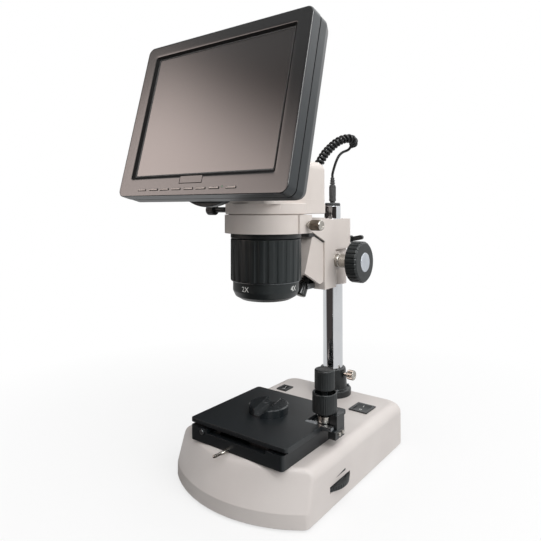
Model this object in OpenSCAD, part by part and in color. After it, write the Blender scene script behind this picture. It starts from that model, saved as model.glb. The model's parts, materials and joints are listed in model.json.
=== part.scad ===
// Digital stereo microscope with a tilting screen, on a lit base with a pillar.
// Millimetres. +X right, +Y back, +Z up. Origin on the table, under the middle
// of the base's straight sides.

/* [Base] */
// Width of the base
base_w = 160; // [150:1:180]
// Height of the base's top above the table
base_h = 49; // [46:1:56]
// How far the front bows out past the front corners
front_bow = 28; // [20:1:34]
// Where the straight sides end at the front
side_front = -98.5; // [-104:0.5:-96]
// Where the base ends at the back
base_back = 110.6; // [108:0.2:120]
// Wall of the base housing
base_wall = 3; // [2:0.5:4]
// Height of the upright chin below the front's crease
chin_h = 15; // [12:1:18]
// Radius of the shoulder between the top and the sides
shoulder = 11; // [6:1:14]
// How far the front leans back above the crease
front_lean = 13; // [8:1:16]
// Height of the rubber feet
foot_h = 2; // [1.5:0.5:4]
// Radius of the rubber feet
foot_r = 9; // [6:0.5:12]

/* [Stage] */
// Width of the stage bed
stage_w = 114.5; // [110:0.5:116]
// Depth of the stage bed
stage_d = 109; // [106:0.5:112]
// Thickness of the stage bed
bed_t = 13.5; // [11:0.5:16]
// Gap between the bed and the top plate, where the saddle runs
stage_gap = 3.5; // [3.5:0.1:5]
// Thickness of the top plate
plate_t = 3.7; // [3.2:0.1:5]
// Travel of the stage each way, front to back
travel_y = 12; // [6:1:12]
// Travel of the stage each way, side to side
travel_x = 8; // [4:1:8]
// Radius of the grooved specimen disc
disc_r = 20; // [16:0.5:24]
// Height of the specimen disc above the plate
disc_h = 8; // [6:0.5:10]
// Radius of the light hole in bed and saddle
light_r = 16; // [14:0.5:17]

/* [Stage knobs] */
// Place of the coaxial knobs from the middle, sideways
column_x = 60.7; // [60.2:0.1:61.5]
// Place of the coaxial knobs, front to back
column_y = -38.5; // [-42:0.5:-36]
// Radius of the upper knob
upper_knob_r = 9.8; // [8:0.2:11]
// Height of the upper knob
upper_knob_h = 19.5; // [14:0.5:24]
// Radius of the lower, cup-shaped knob
lower_knob_r = 12; // [11:0.2:14]
// Height of the lower knob
lower_knob_h = 18.8; // [14:0.2:22]
// Radius of the shaft that carries the upper knob
column_shaft_r = 3; // [2.4:0.1:3.2]

/* [Pillar] */
// Radius of the pillar
pillar_r = 12; // [11:0.5:12.5]
// Wall of the pillar's tube
pillar_wall = 2.5; // [1.5:0.5:3.5]
// Where the pillar stands, front to back
pillar_y = 84; // [82:0.5:85]
// Height of the pillar's shoulder above the table
pillar_top = 262.5; // [258:0.5:275]
// Radius of the flange that holds the pillar
flange_r = 22; // [20:0.5:24]
// Thickness of the flange
flange_t = 8; // [6:0.5:10]
// Height of the collar on the flange
collar_h = 24; // [20:1:30]
// Radius of the socket tube on top of the pillar
socket_r = 10; // [9.5:0.1:10.5]
// Height of the socket tube
socket_h = 15.5; // [12:0.5:20]

/* [Focus arm] */
// Half width of the focus block
block_hw = 22; // [20:0.5:24]
// Height of the bottom of the focus block
block_z0 = 184; // [182:1:186]
// Wall of the liner bush
bush_t = 1; // [0.8:0.1:1.4]
// Radius of the ribbed focus knobs
focus_r = 23.3; // [20:0.1:25]
// Width of the ribbed focus knobs
focus_w = 14.5; // [11:0.5:18]
// Radius of the pinion shaft
shaft_r = 4; // [3:0.2:4.4]
// Height of the pinion shaft above the table
shaft_z = 214.5; // [212:0.5:218]
// Module of the focus rack and pinion
rack_m = 1; // [1:0.01:1]
// Travel of the focus slide each way
focus_travel = 18; // [8:1:18]

/* [Head] */
// Distance of the optical axis behind the middle of the base (negative is in front)
axis_y = -52; // [-53:0.5:-50]
// Radius of the head's neck in the ring
neck_r = 38; // [37:0.5:38.5]
// Outer radius of the ring holder
ring_r = 42; // [41:0.5:44]
// Height of the underside of the ring
ring_z0 = 250.6; // [250.2:0.2:251]
// Height of the ring
ring_h = 18.2; // [16:0.2:19]
// Half width of the upright part of the head
head_hw = 35; // [31:0.5:37]
// Height of the head's top above the table
head_top = 325; // [318:1:335]
// Wall of the head's casting
head_wall = 3; // [2:0.5:4]
// Radius of the drum over its ribs
drum_r = 36; // [34:0.5:37]
// Height of the drum's lower end above the table
drum_z0 = 184; // [180:1:188]
// Height of the drum's top above the table
drum_z1 = 245; // [244:0.5:245.2]
// Number of ribs round the drum
drum_ribs = 24; // [16:1:36]

/* [Monitor] */
// Width of the monitor
screen_w = 200; // [190:1:220]
// Height of the monitor
screen_h = 158.5; // [152:0.5:170]
// Depth of the monitor, front to back
screen_d = 33; // [28:0.5:38]
// Width of the visible screen
view_w = 166; // [150:1:170]
// Height of the visible screen
view_h = 124.5; // [112:0.5:126]
// Lean of the monitor from upright, in degrees
lean = 14.5; // [10:0.5:16]
// Depth of the bezel
bezel_d = 12; // [9:0.5:16]
// Height of the monitor's tilt axis above the table
tilt_z = 300; // [296:0.5:304]
// Width of a key on the bezel
key_w = 11; // [8:0.2:11.6]
// Height of a key on the bezel
key_h = 1.7; // [1.2:0.1:2.4]
// How far a key travels when it is pressed
key_travel = 0.8; // [0.4:0.1:1]

/* [Cord] */
// Diameter of the cord
cord_d = 3.2; // [2.8:0.1:3.6]
// Outer diameter of the curly part
curl_d = 11; // [9:0.5:12]

/* [Hidden] */
$fn = 64;
eps = 0.01;
fit = 0.05;              // radial clearance of a shaft that turns in its bore
slide_gap = 0.25;        // clearance of a slide in its guide
body_gap = 0.3;          // gap between faces that pass each other

// Base
back_corner_r = 12;
front_radius = (pow(base_w / 2, 2) + pow(front_bow, 2)) / (2 * front_bow);
front_cy = side_front - front_bow + front_radius;
plate_z0 = foot_h;
plate_thick = 2;
foot_x = base_w / 2 - 18;
foot_ys = [side_front + 8, base_back - 24];
window_t = 2.5;

// Switches, dimmer and inlet
switch_r_pos = [52, 58.8];
switch_r_size = [22, 24];
switch_l_pos = [-55.3, 60];
switch_l_size = [14, 17];
switch_rim = 1.6;
switch_lip = 1.5;
switch_deep = 12;
rocker_throw = 12;
wheel_r = 29;
wheel_out = 5.8;
wheel_t = 4;
wheel_z = 17.5;
wheel_y = -43;
wheel_slot = 1;
wheel_hub_r = 3;
inlet_w = 27;
inlet_h = 20;
inlet_deep = 16;
inlet_z = 26;
inlet_pin_r = 1;

// Stage
stage_x = 6.75;
stage_cy = -stage_d / 2;
bed_z0 = base_h;
bed_z1 = bed_z0 + bed_t;
plate_z = bed_z1 + stage_gap;
stage_top = plate_z + plate_t;
stage_corner = 3.5;
bed_step = 3.5;           // how far the plate stands out over the bed's right side
bed_lip = 5.7;            // end walls of the bed's channel
recess_hw = 35.3;         // wide recess in the bed's front
recess_t = 3.2;
saddle_z0 = bed_z1 + body_gap;
saddle_z1 = plate_z - body_gap;
arm_t = 1.3;
keel_w = 36;
keel_d = 6;
stage_m = 0.7;
stage_teeth = 14;
stage_pr = stage_m * stage_teeth / 2;
gear_backlash = 0.12;
skirt_w = 4;
notch_back = 11.5;
notch_front = 11;
disc_spigot_r = 12;
disc_x = 2.5;
disc_y = -51;
disc_turn = 14;
lock_pin_r = 1.9;
lock_pin_x = -1;
lock_pin_z = base_h + 2.6;
ring_bearing_r = 7.2;
sleeve_r = 4.5;
upper_z = stage_top + 31.3;
cup_z = stage_top + 9.7;

// Pillar and arm
bore_r = pillar_r - pillar_wall;
bush_r = pillar_r + fit + bush_t;
flange_z1 = base_h + flange_t;
collar_z1 = flange_z1 + collar_h;
collar_knob_z = collar_z1 - 6;
socket_z1 = pillar_top + socket_h;
cap_z1 = socket_z1 + 3.8;
block_y0 = 28;
block_y1 = 53;
block_z1 = pillar_top;
clamp_z0 = pillar_top - 35;
clamp_r = 21.5;
sleeve_out_r = 16.7;
shaft_y = 56;
focus_teeth = 14;
focus_pr = rack_m * focus_teeth / 2;
rack_y = shaft_y - focus_pr;
slide_hw = 10;
slide_neck = 7;
slide_z0 = block_z0 + 0.5;
slide_z1 = block_z1 - 0.5;
boss_r = 11;
knob_x0 = 43;
lever_z = pillar_top - 25.6;
lever_y = pillar_y + 17.5;
ear_y1 = pillar_y + 23;

// Ring holder and lamp
web_hw = 23;
gusset_hw = 20;
web_nose = [-4, ring_z0 + 1];
gusset_wall = 3.5;
gusset_top = [5, ring_z0 - 5.1];
gusset_nose = [-10.3, ring_z0 - 44.6];
gusset_toe = [20.7, ring_z0 - 59.6];
web_y1 = block_y0 - body_gap;
ring_z1 = ring_z0 + ring_h;
screw_y = axis_y + 9.5;
screw_z = ring_z0 + 8.2;
pad_x = ring_r + 2;
lamp_y = 16.5;
lamp_z = 188;
lamp_aim = atan2(lamp_y - axis_y, lamp_z - stage_top);
lamp_r = 6.3;

// Head
neck_z0 = drum_z1 + 0.6;
head_z0 = ring_z1 + 0.6;
flange_top = head_z0 + 11;
head_back = 12;
head_front = -92;
head_round = 9;
spigot_r = 20;
spigot_z0 = drum_z1 - 4.5;
gland_z = 300;
gland_x = 4;
gland_len = 6;
camera_board_hw = 26;
camera_r = 17;
lock_y = -74;
lock_z = head_z0 + 4.4;

// Monitor, in its own frame: u across, v up the screen, w out of the screen
screen_c = [0, -137.8, 366];
screen_v = -2.75;
tilt_y = -104;
corner_r = 7;
glass_back = 2;
key_v = -76;
key_places = [-0.3295, -0.2475, -0.1755, -0.1, -0.0235, 0.05, 0.127, 0.2195];
key_us = [for (k = key_places) k * screen_w];
key_deep = 4.4;
key_out = 0.6;
key_gap = 0.2;
tilt_pin_r = 3;
ear_x = 16;
ear_t = 6;

// Cord: chosen points
curl_route = [
    [4, 18, 300], [4, 21, 300], [4, 25.5, 303.5], [5, 29.5, 310.5], [6.5, 33.5, 318.5],
    [8.5, 38.5, 327], [11, 46, 337.5], [14, 54, 345.5], [18, 62, 352.5],
    [22.5, 70, 357], [26.5, 78, 358.5], [27.5, 86, 357], [24, 92.5, 353.5],
    [18.5, 95, 349.5]];
lead_route = [
    [18.5, 95, 349.5], [15.75, 96, 347.5], [12.4, 95.6, 346.2], [9.3, 92.8, 344.4],
    [6.9, 89.4, 340.8], [4.8, 87, 335.5], [3, 85.6, 329.5], [1.3, 84.6, 323],
    [0, 84, 317], [0, 84, 313]];
plug_r = 4.2;
relief_z1 = 313;
plug_z1 = 303;
nose_r = 3;

cream = "#D3CEC8";
black = "#2B2F30";
steel = "#B9BCBE";

// ---------- helpers ----------

module rod_x(r, x0, x1, y, z) {
    translate([x0, y, z]) rotate([0, 90, 0]) cylinder(r = r, h = x1 - x0);
}

module rod_y(r, y0, y1, x, z) {
    translate([x, y1, z]) rotate([90, 0, 0]) cylinder(r = r, h = y1 - y0);
}

module rod_z(r, z0, z1, x, y) {
    translate([x, y, z0]) cylinder(r = r, h = z1 - z0);
}

module span_box(lo, hi) {
    translate(lo) cube(hi - lo);
}

// Flat rectangle with round corners, about the origin
module round_rect(w, d, r) {
    square([w - 2 * r, d], center = true);
    square([w, d - 2 * r], center = true);
    for (sx = [-1, 1], sy = [-1, 1])
        translate([sx * (w / 2 - r), sy * (d / 2 - r)]) circle(r = r);
}

module round_slab(w, d, r, z0, z1) {
    translate([0, 0, z0]) linear_extrude(z1 - z0) round_rect(w, d, r);
}

// Outline of a gripped knob: n ribs of the given depth
function ribbed(r, n, depth, steps = 4) = [
    for (i = [0 : n * steps - 1])
        let (a = 360 * i / (n * steps), k = i % steps)
            (k < steps / 2 ? r : r - depth) * [cos(a), sin(a)]];

// Involute half angle at radius r for a tooth whose half angle is h at the base
function involute(r, rb) = r <= rb ? 0 : tan(acos(rb / r)) * 180 / PI - acos(rb / r);

function tooth_half(r, pr, rb, teeth, slack) =
    90 / teeth - slack / (4 * pr) * 180 / PI + involute(pr, rb) - involute(r, rb);

// Spur gear with stub teeth; a tooth points along +X
function gear_points(m, teeth, slack) =
    let (pr = m * teeth / 2, rb = pr * cos(20), root = pr - m, tip = pr + 0.8 * m,
         rs = [root, rb, pr, tip])
    [for (t = [0 : teeth - 1]) each concat(
        [for (r = rs) let (a = 360 * t / teeth - tooth_half(r, pr, rb, teeth, slack))
            r * [cos(a), sin(a)]],
        [for (i = [3 : -1 : 0]) let (r = rs[i],
            a = 360 * t / teeth + tooth_half(r, pr, rb, teeth, slack))
            r * [cos(a), sin(a)]])];

// Teeth on each side of a rack's middle for a given half length
function half_teeth(reach, m) = ceil(reach / (PI * m));

// Rack teeth along +X with a gap at x = 0, pitch line on the X axis, tips at +Y
function rack_points(m, n, slack) =
    let (p = PI * m, half = PI * m / 4 - slack / 4, s = tan(20), up = 0.8 * m,
         down = m)
    concat([[-n * p, -down]], [for (t = [-n : n - 1]) let (c = (t + 0.5) * p) each [
        [c - half - s * down, -down], [c - half + s * up, up],
        [c + half - s * up, up], [c + half + s * down, -down]]],
        [[n * p, -down], [n * p, -2 * down], [-n * p, -2 * down]]);

// Tube swept along points, one ring of n sides at each
function unit(v) = v / norm(v);
function route_dir(p, i) = unit(p[min(i + 1, len(p) - 1)] - p[max(i - 1, 0)]);
module swept_tube(points, r, n) {
    ring = [for (i = [0 : len(points) - 1])
        let (t = route_dir(points, i), side = unit(cross([1, -0.6, 0], t)),
             up = cross(t, side))
        for (k = [0 : n - 1])
            points[i] + r * (cos(360 * k / n) * side + sin(360 * k / n) * up)];
    last = (len(points) - 1) * n;
    walls = [for (i = [0 : len(points) - 2], k = [0 : n - 1])
        let (a = i * n + k, b = i * n + (k + 1) % n) each [[a, b, b + n], [a, b + n, a + n]]];
    ends = [[for (k = [n - 1 : -1 : 0]) k], [for (k = [0 : n - 1]) last + k]];
    polyhedron(ring, concat(walls, ends));
}

// ---------- base ----------

// One thin slice of the base's outline, inset from the sides and the front
module base_slice(z, side, front) {
    hw = base_w / 2 - side;
    back = base_back - side;
    translate([0, 0, z]) linear_extrude(eps) intersection() {
        union() {
            translate([0, front_cy + front]) circle(r = front_radius, $fn = 96);
            translate([-base_w, front_cy + front]) square([2 * base_w, 2 * base_back]);
        }
        union() {
            translate([-hw, side_front - front_bow])
                square([2 * hw, back - back_corner_r - side_front + front_bow]);
            for (s = [-1, 1]) translate([s * (hw - back_corner_r), back - back_corner_r])
                circle(r = back_corner_r, $fn = 40);
        }
    }
}

// The base's form, shrunk by t and cut off below z0, its shoulder in the given steps
module base_form(t, z0, steps) {
    top = base_h - eps - t;
    hull() {
        base_slice(z0, t, t);
        base_slice(chin_h, t, t);
        for (i = [0 : steps]) let (
            a = 90 * i / steps,
            z = top - shoulder * (1 - sin(a)),
            side = shoulder * (1 - cos(a)),
            front = front_lean * (z - chin_h) / (top - chin_h))
            base_slice(z, t + side, t + max(front, side * 0.8));
    }
}

module base_housing() {
    color(cream) difference() {
        base_form(0, plate_z0, 4);
        base_form(base_wall, plate_z0 - 1, 1);
        rod_z(pillar_r + fit, base_h - base_wall - 1, base_h + 1, 0, pillar_y);
        rod_z(light_r + 3, base_h - base_wall - 1, base_h + 1, 0, axis_y);
        switch_hole(switch_r_pos, switch_r_size);
        switch_hole(switch_l_pos, switch_l_size);
        rod_z(wheel_r + wheel_slot, wheel_z - wheel_slot, wheel_z + wheel_t + wheel_slot,
              base_w / 2 + wheel_out - wheel_r, wheel_y);
        span_box([-inlet_w / 2, base_back - 2 * base_wall, inlet_z - inlet_h / 2],
                 [inlet_w / 2, base_back + 1, inlet_z + inlet_h / 2]);
    }
}

module switch_hole(at, size) {
    translate([at[0], at[1], base_h - base_wall - 1])
        linear_extrude(base_wall + 2)
            square([size[0] - 2 * switch_rim, size[1] - 2 * switch_rim], center = true);
}

module bottom_plate() {
    color("#8C9092") intersection() {
        base_form(base_wall + body_gap, plate_z0 - 1, 1);
        span_box([-base_w, side_front - 50, plate_z0],
                 [base_w, base_back, plate_z0 + plate_thick]);
    }
}

module rubber_feet() {
    color("#202224") for (sx = [-1, 1], y = foot_ys)
        rod_z(foot_r, 0, foot_h, sx * foot_x, y);
}

flange_screw_r = 1.6;
flange_screw_at = flange_r - 3;
side_screw_r = 2.4;

module body_screws() {
    color(steel) {
        for (a = [45 : 90 : 315]) translate([0, pillar_y, 0]) rotate(a)
            rod_z(flange_screw_r, flange_z1, flange_z1 + 1.6, flange_screw_at, 0);
        rod_y(side_screw_r, stage_cy - stage_d / 2 - 1.4, stage_cy - stage_d / 2,
              stage_x - stage_w / 2 + 16, bed_z1 - side_screw_r - 0.8);
    }
}

board_z = plate_z0 + plate_thick + 5;
board_lo = [-60, -5];
board_hi = [20, 62];
board_t = 1.6;
block_size = [38, 38, 25.4];

module power_board() {
    color("#2F6B3C") {
        span_box([each board_lo, board_z], [each board_hi, board_z + board_t]);
        for (x = [board_lo.x + 6, board_hi.x - 6], y = [board_lo.y + 6, board_hi.y - 6])
            rod_z(2.5, plate_z0 + plate_thick, board_z, x, y);
    }
    color("#D9B24C") translate([board_lo.x + 8, board_lo.y + 11, board_z + board_t])
        cube(block_size);
    color("#303030") for (i = [0 : 3])
        rod_z(5, board_z + board_t, board_z + 18, -2 + 12 * (i % 2), 16 + 14 * floor(i / 2));
}

led_top = base_h - base_wall - window_t - 4;

module base_led() {
    color("#C9CDD0") {
        for (i = [0 : 4])
            rod_z(light_r - 2, led_top - 12 - i * 4, led_top - 10 - i * 4, 0, axis_y);
        rod_z(6, plate_z0 + plate_thick, led_top - 8, 0, axis_y);
        rod_z(light_r - 2, led_top - 8, led_top - 4, 0, axis_y);
    }
    color("#F3EFC8") rod_z(9, led_top - 4, led_top - 1, 0, axis_y);
}

module light_window() {
    color("#DDE6E8") rod_z(light_r + 3 - fit, base_h - window_t, base_h, 0, axis_y);
}

// Mains inlet: a rimmed block with a hollow and three pins
module power_inlet() {
    y1 = base_back + 2;
    y0 = base_back - inlet_deep;
    color("#1F2122") difference() {
        union() {
            span_box([-inlet_w / 2 + fit, y0, inlet_z - inlet_h / 2 + fit],
                     [inlet_w / 2 - fit, base_back, inlet_z + inlet_h / 2 - fit]);
            span_box([-inlet_w / 2 - 3, base_back, inlet_z - inlet_h / 2 - 3],
                     [inlet_w / 2 + 3, y1, inlet_z + inlet_h / 2 + 3]);
        }
        span_box([-inlet_w / 2 + 2, y0 + 2, inlet_z - inlet_h / 2 + 2],
                 [inlet_w / 2 - 2, y1 + 1, inlet_z + inlet_h / 2 - 2]);
    }
    color(steel) for (x = [-7, 0, 7])
        rod_y(inlet_pin_r, y0 + 2, y0 + 10, x, inlet_z + (x == 0 ? 4 : -3));
}

// Switch frame: rim on the housing, box under it
module switch_frame(at, size) {
    inner = [size[0] - 2 * switch_rim - 3, size[1] - 2 * switch_rim - 3];
    translate([at[0], at[1], 0]) difference() {
        union() {
            translate([0, 0, base_h]) linear_extrude(switch_lip)
                square(size, center = true);
            translate([0, 0, base_h - switch_deep]) linear_extrude(switch_deep)
                square([size[0] - 2 * switch_rim - 2 * fit,
                        size[1] - 2 * switch_rim - 2 * fit], center = true);
        }
        translate([0, 0, base_h - switch_deep + 1.5])
            linear_extrude(switch_deep + switch_lip)
                square(inner, center = true);
        rod_x(rocker_pin_r + fit, -inner[0] / 2 - 1, inner[0] / 2 + 1, 0, rocker_pin_z);
    }
}

rocker_pin_r = 1.2;
rocker_pin_z = base_h - 3;

module switch_frames() {
    color("#1E2021") {
        switch_frame(switch_r_pos, switch_r_size);
        switch_frame(switch_l_pos, switch_l_size);
    }
}

// Rocker cap: two slopes that meet over the pivot, tipped to its off side
module rocker(at, size) {
    w = size[0] - 2 * switch_rim - 3 - 2 * body_gap;
    d = size[1] - 2 * switch_rim - 3 - 2 * body_gap;
    reach = d / 2 - 1;
    translate([at[0], at[1], rocker_pin_z]) {
        rotate([rocker_throw / 2, 0, 0])
            translate([-w / 2, 0, 0]) rotate([90, 0, 90]) linear_extrude(w)
                polygon([[-reach, 4.6], [0, 3.4], [reach, 4.6], [reach, 1.6],
                         [3, -3.5], [-3, -3.5], [-reach, 1.6]]);
        rod_x(rocker_pin_r, -w / 2 - body_gap - 0.8, w / 2 + body_gap + 0.8, 0, 0);
    }
}

module rocker_right() { color("#26282A") rocker(switch_r_pos, switch_r_size); }
module rocker_left() { color("#26282A") rocker(switch_l_pos, switch_l_size); }

module dimmer_wheel() {
    x = base_w / 2 + wheel_out - wheel_r;
    color("#1D1F20") {
        translate([x, wheel_y, wheel_z]) linear_extrude(wheel_t)
            polygon(ribbed(wheel_r, 60, 0.6));
        rod_z(wheel_hub_r, plate_z0 + plate_thick + body_gap, wheel_z, x, wheel_y);
    }
}

// Screw in the bed's front face with a short bent handle
module stage_lock_screw() {
    color(steel) {
        rod_y(lock_pin_r, -stage_d - 7, -stage_d + 8, lock_pin_x, lock_pin_z);
        translate([lock_pin_x, -stage_d - 7, lock_pin_z]) sphere(r = lock_pin_r);
        translate([lock_pin_x, -stage_d - 7, lock_pin_z]) rotate([0, -118, 0])
            rotate([40, 0, 0]) {
                cylinder(r = lock_pin_r - 0.4, h = 9);
                translate([0, 0, 9]) sphere(r = lock_pin_r - 0.4);
            }
    }
}

// ---------- stage ----------

module stage_bed() {
    color(black) {
        difference() {
            translate([stage_x - bed_step / 2, stage_cy, 0])
                round_slab(stage_w - bed_step, stage_d, stage_corner, bed_z0, bed_z1);
            rod_z(light_r, bed_z0 - 1, bed_z1 + 1, 0, axis_y);
            span_box([-keel_w / 2 - slide_gap, bed_lip - stage_d, bed_z1 - keel_d],
                     [keel_w / 2 + slide_gap, -bed_lip, bed_z1 + 1]);
            span_box([stage_x - recess_hw, -stage_d - 1, bed_z1 - recess_t],
                     [stage_x + recess_hw, bed_lip + 3.3 - stage_d, bed_z1 + 1]);
            rod_y(lock_pin_r + fit, -stage_d - 1, -stage_d + 9, lock_pin_x, lock_pin_z);
        }
        translate([column_x - stage_pr, column_y, bed_z1]) rotate([0, 0, -90])
            linear_extrude(arm_z0 - body_gap - bed_z1)
                polygon(rack_points(stage_m, half_teeth(travel_y + 5, stage_m), gear_backlash));
    }
}

arm_z0 = saddle_z1 - arm_t;
arm_y0 = column_y - 8;
arm_y1 = column_y + 11;
saddle_x0 = stage_x - 52;
saddle_x1 = stage_x + 39.25;
saddle_edge = 5;
keel_end = bed_lip + travel_y + body_gap;

module stage_saddle() {
    color("#3A3D3F") difference() {
        union() {
            span_box([saddle_x0, saddle_edge - stage_d, saddle_z0],
                     [saddle_x1, -saddle_edge, saddle_z1]);
            span_box([-keel_w / 2, keel_end - stage_d, bed_z1 - keel_d + body_gap],
                     [keel_w / 2, -keel_end, saddle_z0]);
            span_box([saddle_x1, arm_y0, arm_z0], [block_x1, arm_y1, saddle_z1]);
        }
        rod_z(light_r, bed_z0, saddle_z1 + 1, 0, axis_y);
        rod_z(column_shaft_r + fit, arm_z0 - 1, saddle_z1 + 1, column_x, column_y);
    }
}

block_x0 = stage_x + stage_w / 2 + 4;
block_x1 = block_x0 + 8;
block_top = stage_top + 9;

// End block with the bearing ring of the coaxial knobs and two screws
module knob_bracket() {
    color(black) difference() {
        union() {
            span_box([block_x0, column_y - 3.4, saddle_z1], [block_x1, arm_y1, block_top]);
            span_box([block_x0, arm_y0 + 2, bed_z0 + 8], [block_x1, arm_y1, arm_z0]);
            span_box([column_x, column_y - 4, stage_top + 1.5],
                     [block_x0, column_y + 4, stage_top + 5.5]);
        }
        rod_z(ring_bearing_r - eps, stage_top, stage_top + 8, column_x, column_y);
    }
    color(steel) {
        difference() {
            rod_z(ring_bearing_r, stage_top + 0.6, stage_top + 6.2, column_x, column_y);
            rod_z(sleeve_r + fit, stage_top - 1, stage_top + 8, column_x, column_y);
        }
        for (y = [column_y + 1, column_y + 7.5])
            rod_x(1.8, block_x1, block_x1 + 1.2, y, bed_z0 + 12);
    }
}

module stage_top_plate() {
    x1 = stage_x + stage_w / 2;
    color(black) difference() {
        union() {
            translate([stage_x, stage_cy, 0])
                round_slab(stage_w, stage_d, stage_corner, plate_z, stage_top);
            span_box([x1 - skirt_w, -stage_d + stage_corner, arm_z0],
                     [x1, arm_y0 - 2, plate_z]);
        }
        span_box([column_x - ring_bearing_r - travel_x - 1, column_y - notch_front,
                  plate_z - 1],
                 [x1 + 1, column_y + notch_back + 1, stage_top + 1]);
        rod_z(disc_spigot_r + fit, plate_z - 1, stage_top + 1, disc_x, disc_y);
    }
}

// Rack on the front side of the notch, driven by the lower knob
module x_rack() {
    n = half_teeth(travel_x + 5, stage_m);
    z0 = plate_z + 0.2;
    z1 = stage_top - 0.2;
    color("#6F7376") {
        translate([column_x, column_y - stage_pr, z0])
            linear_extrude(z1 - z0) polygon(rack_points(stage_m, n, gear_backlash));
        span_box([column_x - ring_bearing_r - travel_x - 1, column_y - notch_front, z0],
                 [column_x + n * PI * stage_m, column_y - stage_pr - 2 * stage_m, z1]);
    }
}

module stage_pinion(z0, z1, turn) {
    translate([column_x, column_y, z0]) rotate(turn)
        linear_extrude(z1 - z0)
            polygon(gear_points(stage_m, stage_teeth, gear_backlash));
}

module y_knob() {
    color("#232627") {
        stage_pinion(bed_z1 + body_gap, arm_z0 - body_gap, 180);
        rod_z(column_shaft_r, arm_z0 - body_gap, upper_z, column_x, column_y);
        translate([column_x, column_y, upper_z]) {
            linear_extrude(upper_knob_h - 1)
                polygon(ribbed(upper_knob_r, 36, 0.35));
            translate([0, 0, upper_knob_h - 1]) cylinder(r = upper_knob_r - 0.5, h = 1);
        }
    }
}

module x_knob() {
    color("#232627") difference() {
        union() {
            stage_pinion(plate_z + 0.2, stage_top - 0.2, -90);
            rod_z(sleeve_r, stage_top - 0.2, cup_z, column_x, column_y);
            rod_z(6.8, cup_z - 3, cup_z, column_x, column_y);
            translate([column_x, column_y, cup_z]) linear_extrude(lower_knob_h)
                polygon(ribbed(lower_knob_r, 30, 0.6));
        }
        rod_z(column_shaft_r + fit, plate_z - 1, cup_z + lower_knob_h, column_x, column_y);
        rod_z(lower_knob_r - 2, cup_z + 4, cup_z + lower_knob_h + 1, column_x, column_y);
    }
}

// Round specimen holder with a sloped groove across it
module specimen_disc() {
    color("#202425") translate([disc_x, disc_y, 0]) {
        difference() {
            union() {
                rod_z(disc_r, stage_top, stage_top + disc_h - 1, 0, 0);
                translate([0, 0, stage_top + disc_h - 1])
                    cylinder(r1 = disc_r, r2 = disc_r - 1, h = 1);
            }
            rotate(disc_turn) translate([0, disc_r + 1, stage_top]) rotate([90, 0, 0])
                linear_extrude(2 * disc_r + 2)
                    polygon([[-7.5, disc_h + 1], [-7.5, 2.2], [-1.5, 2.2],
                             [7, disc_h + 0.01], [7, disc_h + 1]]);
        }
        rod_z(disc_spigot_r, plate_z + 0.2, stage_top, 0, 0);
    }
}

// ---------- pillar ----------

module pillar_flange() {
    color("#25282A") difference() {
        translate([0, pillar_y, 0]) rotate_extrude() polygon([
            [0, base_h], [flange_r, base_h], [flange_r, flange_z1 - 1.5],
            [flange_r - 1.5, flange_z1], [pillar_r + 5.2, flange_z1],
            [pillar_r + 3.6, collar_z1 - 1], [pillar_r + 2.8, collar_z1],
            [0, collar_z1]]);
        rod_z(pillar_r, base_h - 1, collar_z1 + 1, 0, pillar_y);
        rod_x(collar_pin_r + fit, pillar_r - 1, pillar_r + 8, pillar_y, collar_knob_z);
    }
}

collar_pin_r = 2.5;

module pillar() {
    color("#C9CCCE") difference() {
        rod_z(pillar_r, base_h - 12, pillar_top, 0, pillar_y);
        rod_z(bore_r, base_h - 13, pillar_top + 1, 0, pillar_y);
    }
}

module collar_knob() {
    color(steel) {
        rod_x(collar_pin_r, pillar_r + 0.2, pillar_r + 9, pillar_y, collar_knob_z);
        translate([pillar_r + 9, pillar_y, collar_knob_z]) rotate([0, 90, 0])
            linear_extrude(8) polygon(ribbed(5.8, 24, 0.5));
    }
}

module socket_tube() {
    color("#C9CCCE") difference() {
        union() {
            rod_z(socket_r, pillar_top, socket_z1, 0, pillar_y);
            rod_z(bore_r, pillar_top - 10, pillar_top, 0, pillar_y);
        }
        rod_z(socket_r - 2.5, pillar_top - 11, socket_z1 + 1, 0, pillar_y);
    }
}

module socket_cap() {
    color("#17191A") difference() {
        union() {
            rod_z(socket_r - 0.5, socket_z1, cap_z1, 0, pillar_y);
            rod_z(socket_r - 2.5, socket_z1 - 8, socket_z1, 0, pillar_y);
        }
        rod_z(nose_r, socket_z1 - 6, cap_z1 + 1, 0, pillar_y);
    }
}

// ---------- focus arm ----------

module clamp_bush() {
    color("#C8A860") difference() {
        rod_z(bush_r, block_z0, block_z1, 0, pillar_y);
        rod_z(pillar_r + fit, block_z0 - 1, block_z1 + 1, 0, pillar_y);
    }
}

// Outline of the dovetail, grown by a clearance
module dovetail(grow) {
    polygon([[-slide_neck - grow, block_y0 - 2], [slide_neck + grow, block_y0 - 2],
             [slide_neck + grow, block_y0 + 5 - grow], [slide_hw + grow, block_y0 + 10 - grow],
             [slide_hw + grow, rack_y - rack_m + grow], [-slide_hw - grow, rack_y - rack_m + grow],
             [-slide_hw - grow, block_y0 + 10 - grow], [-slide_neck - grow, block_y0 + 5 - grow]]);
}

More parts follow.
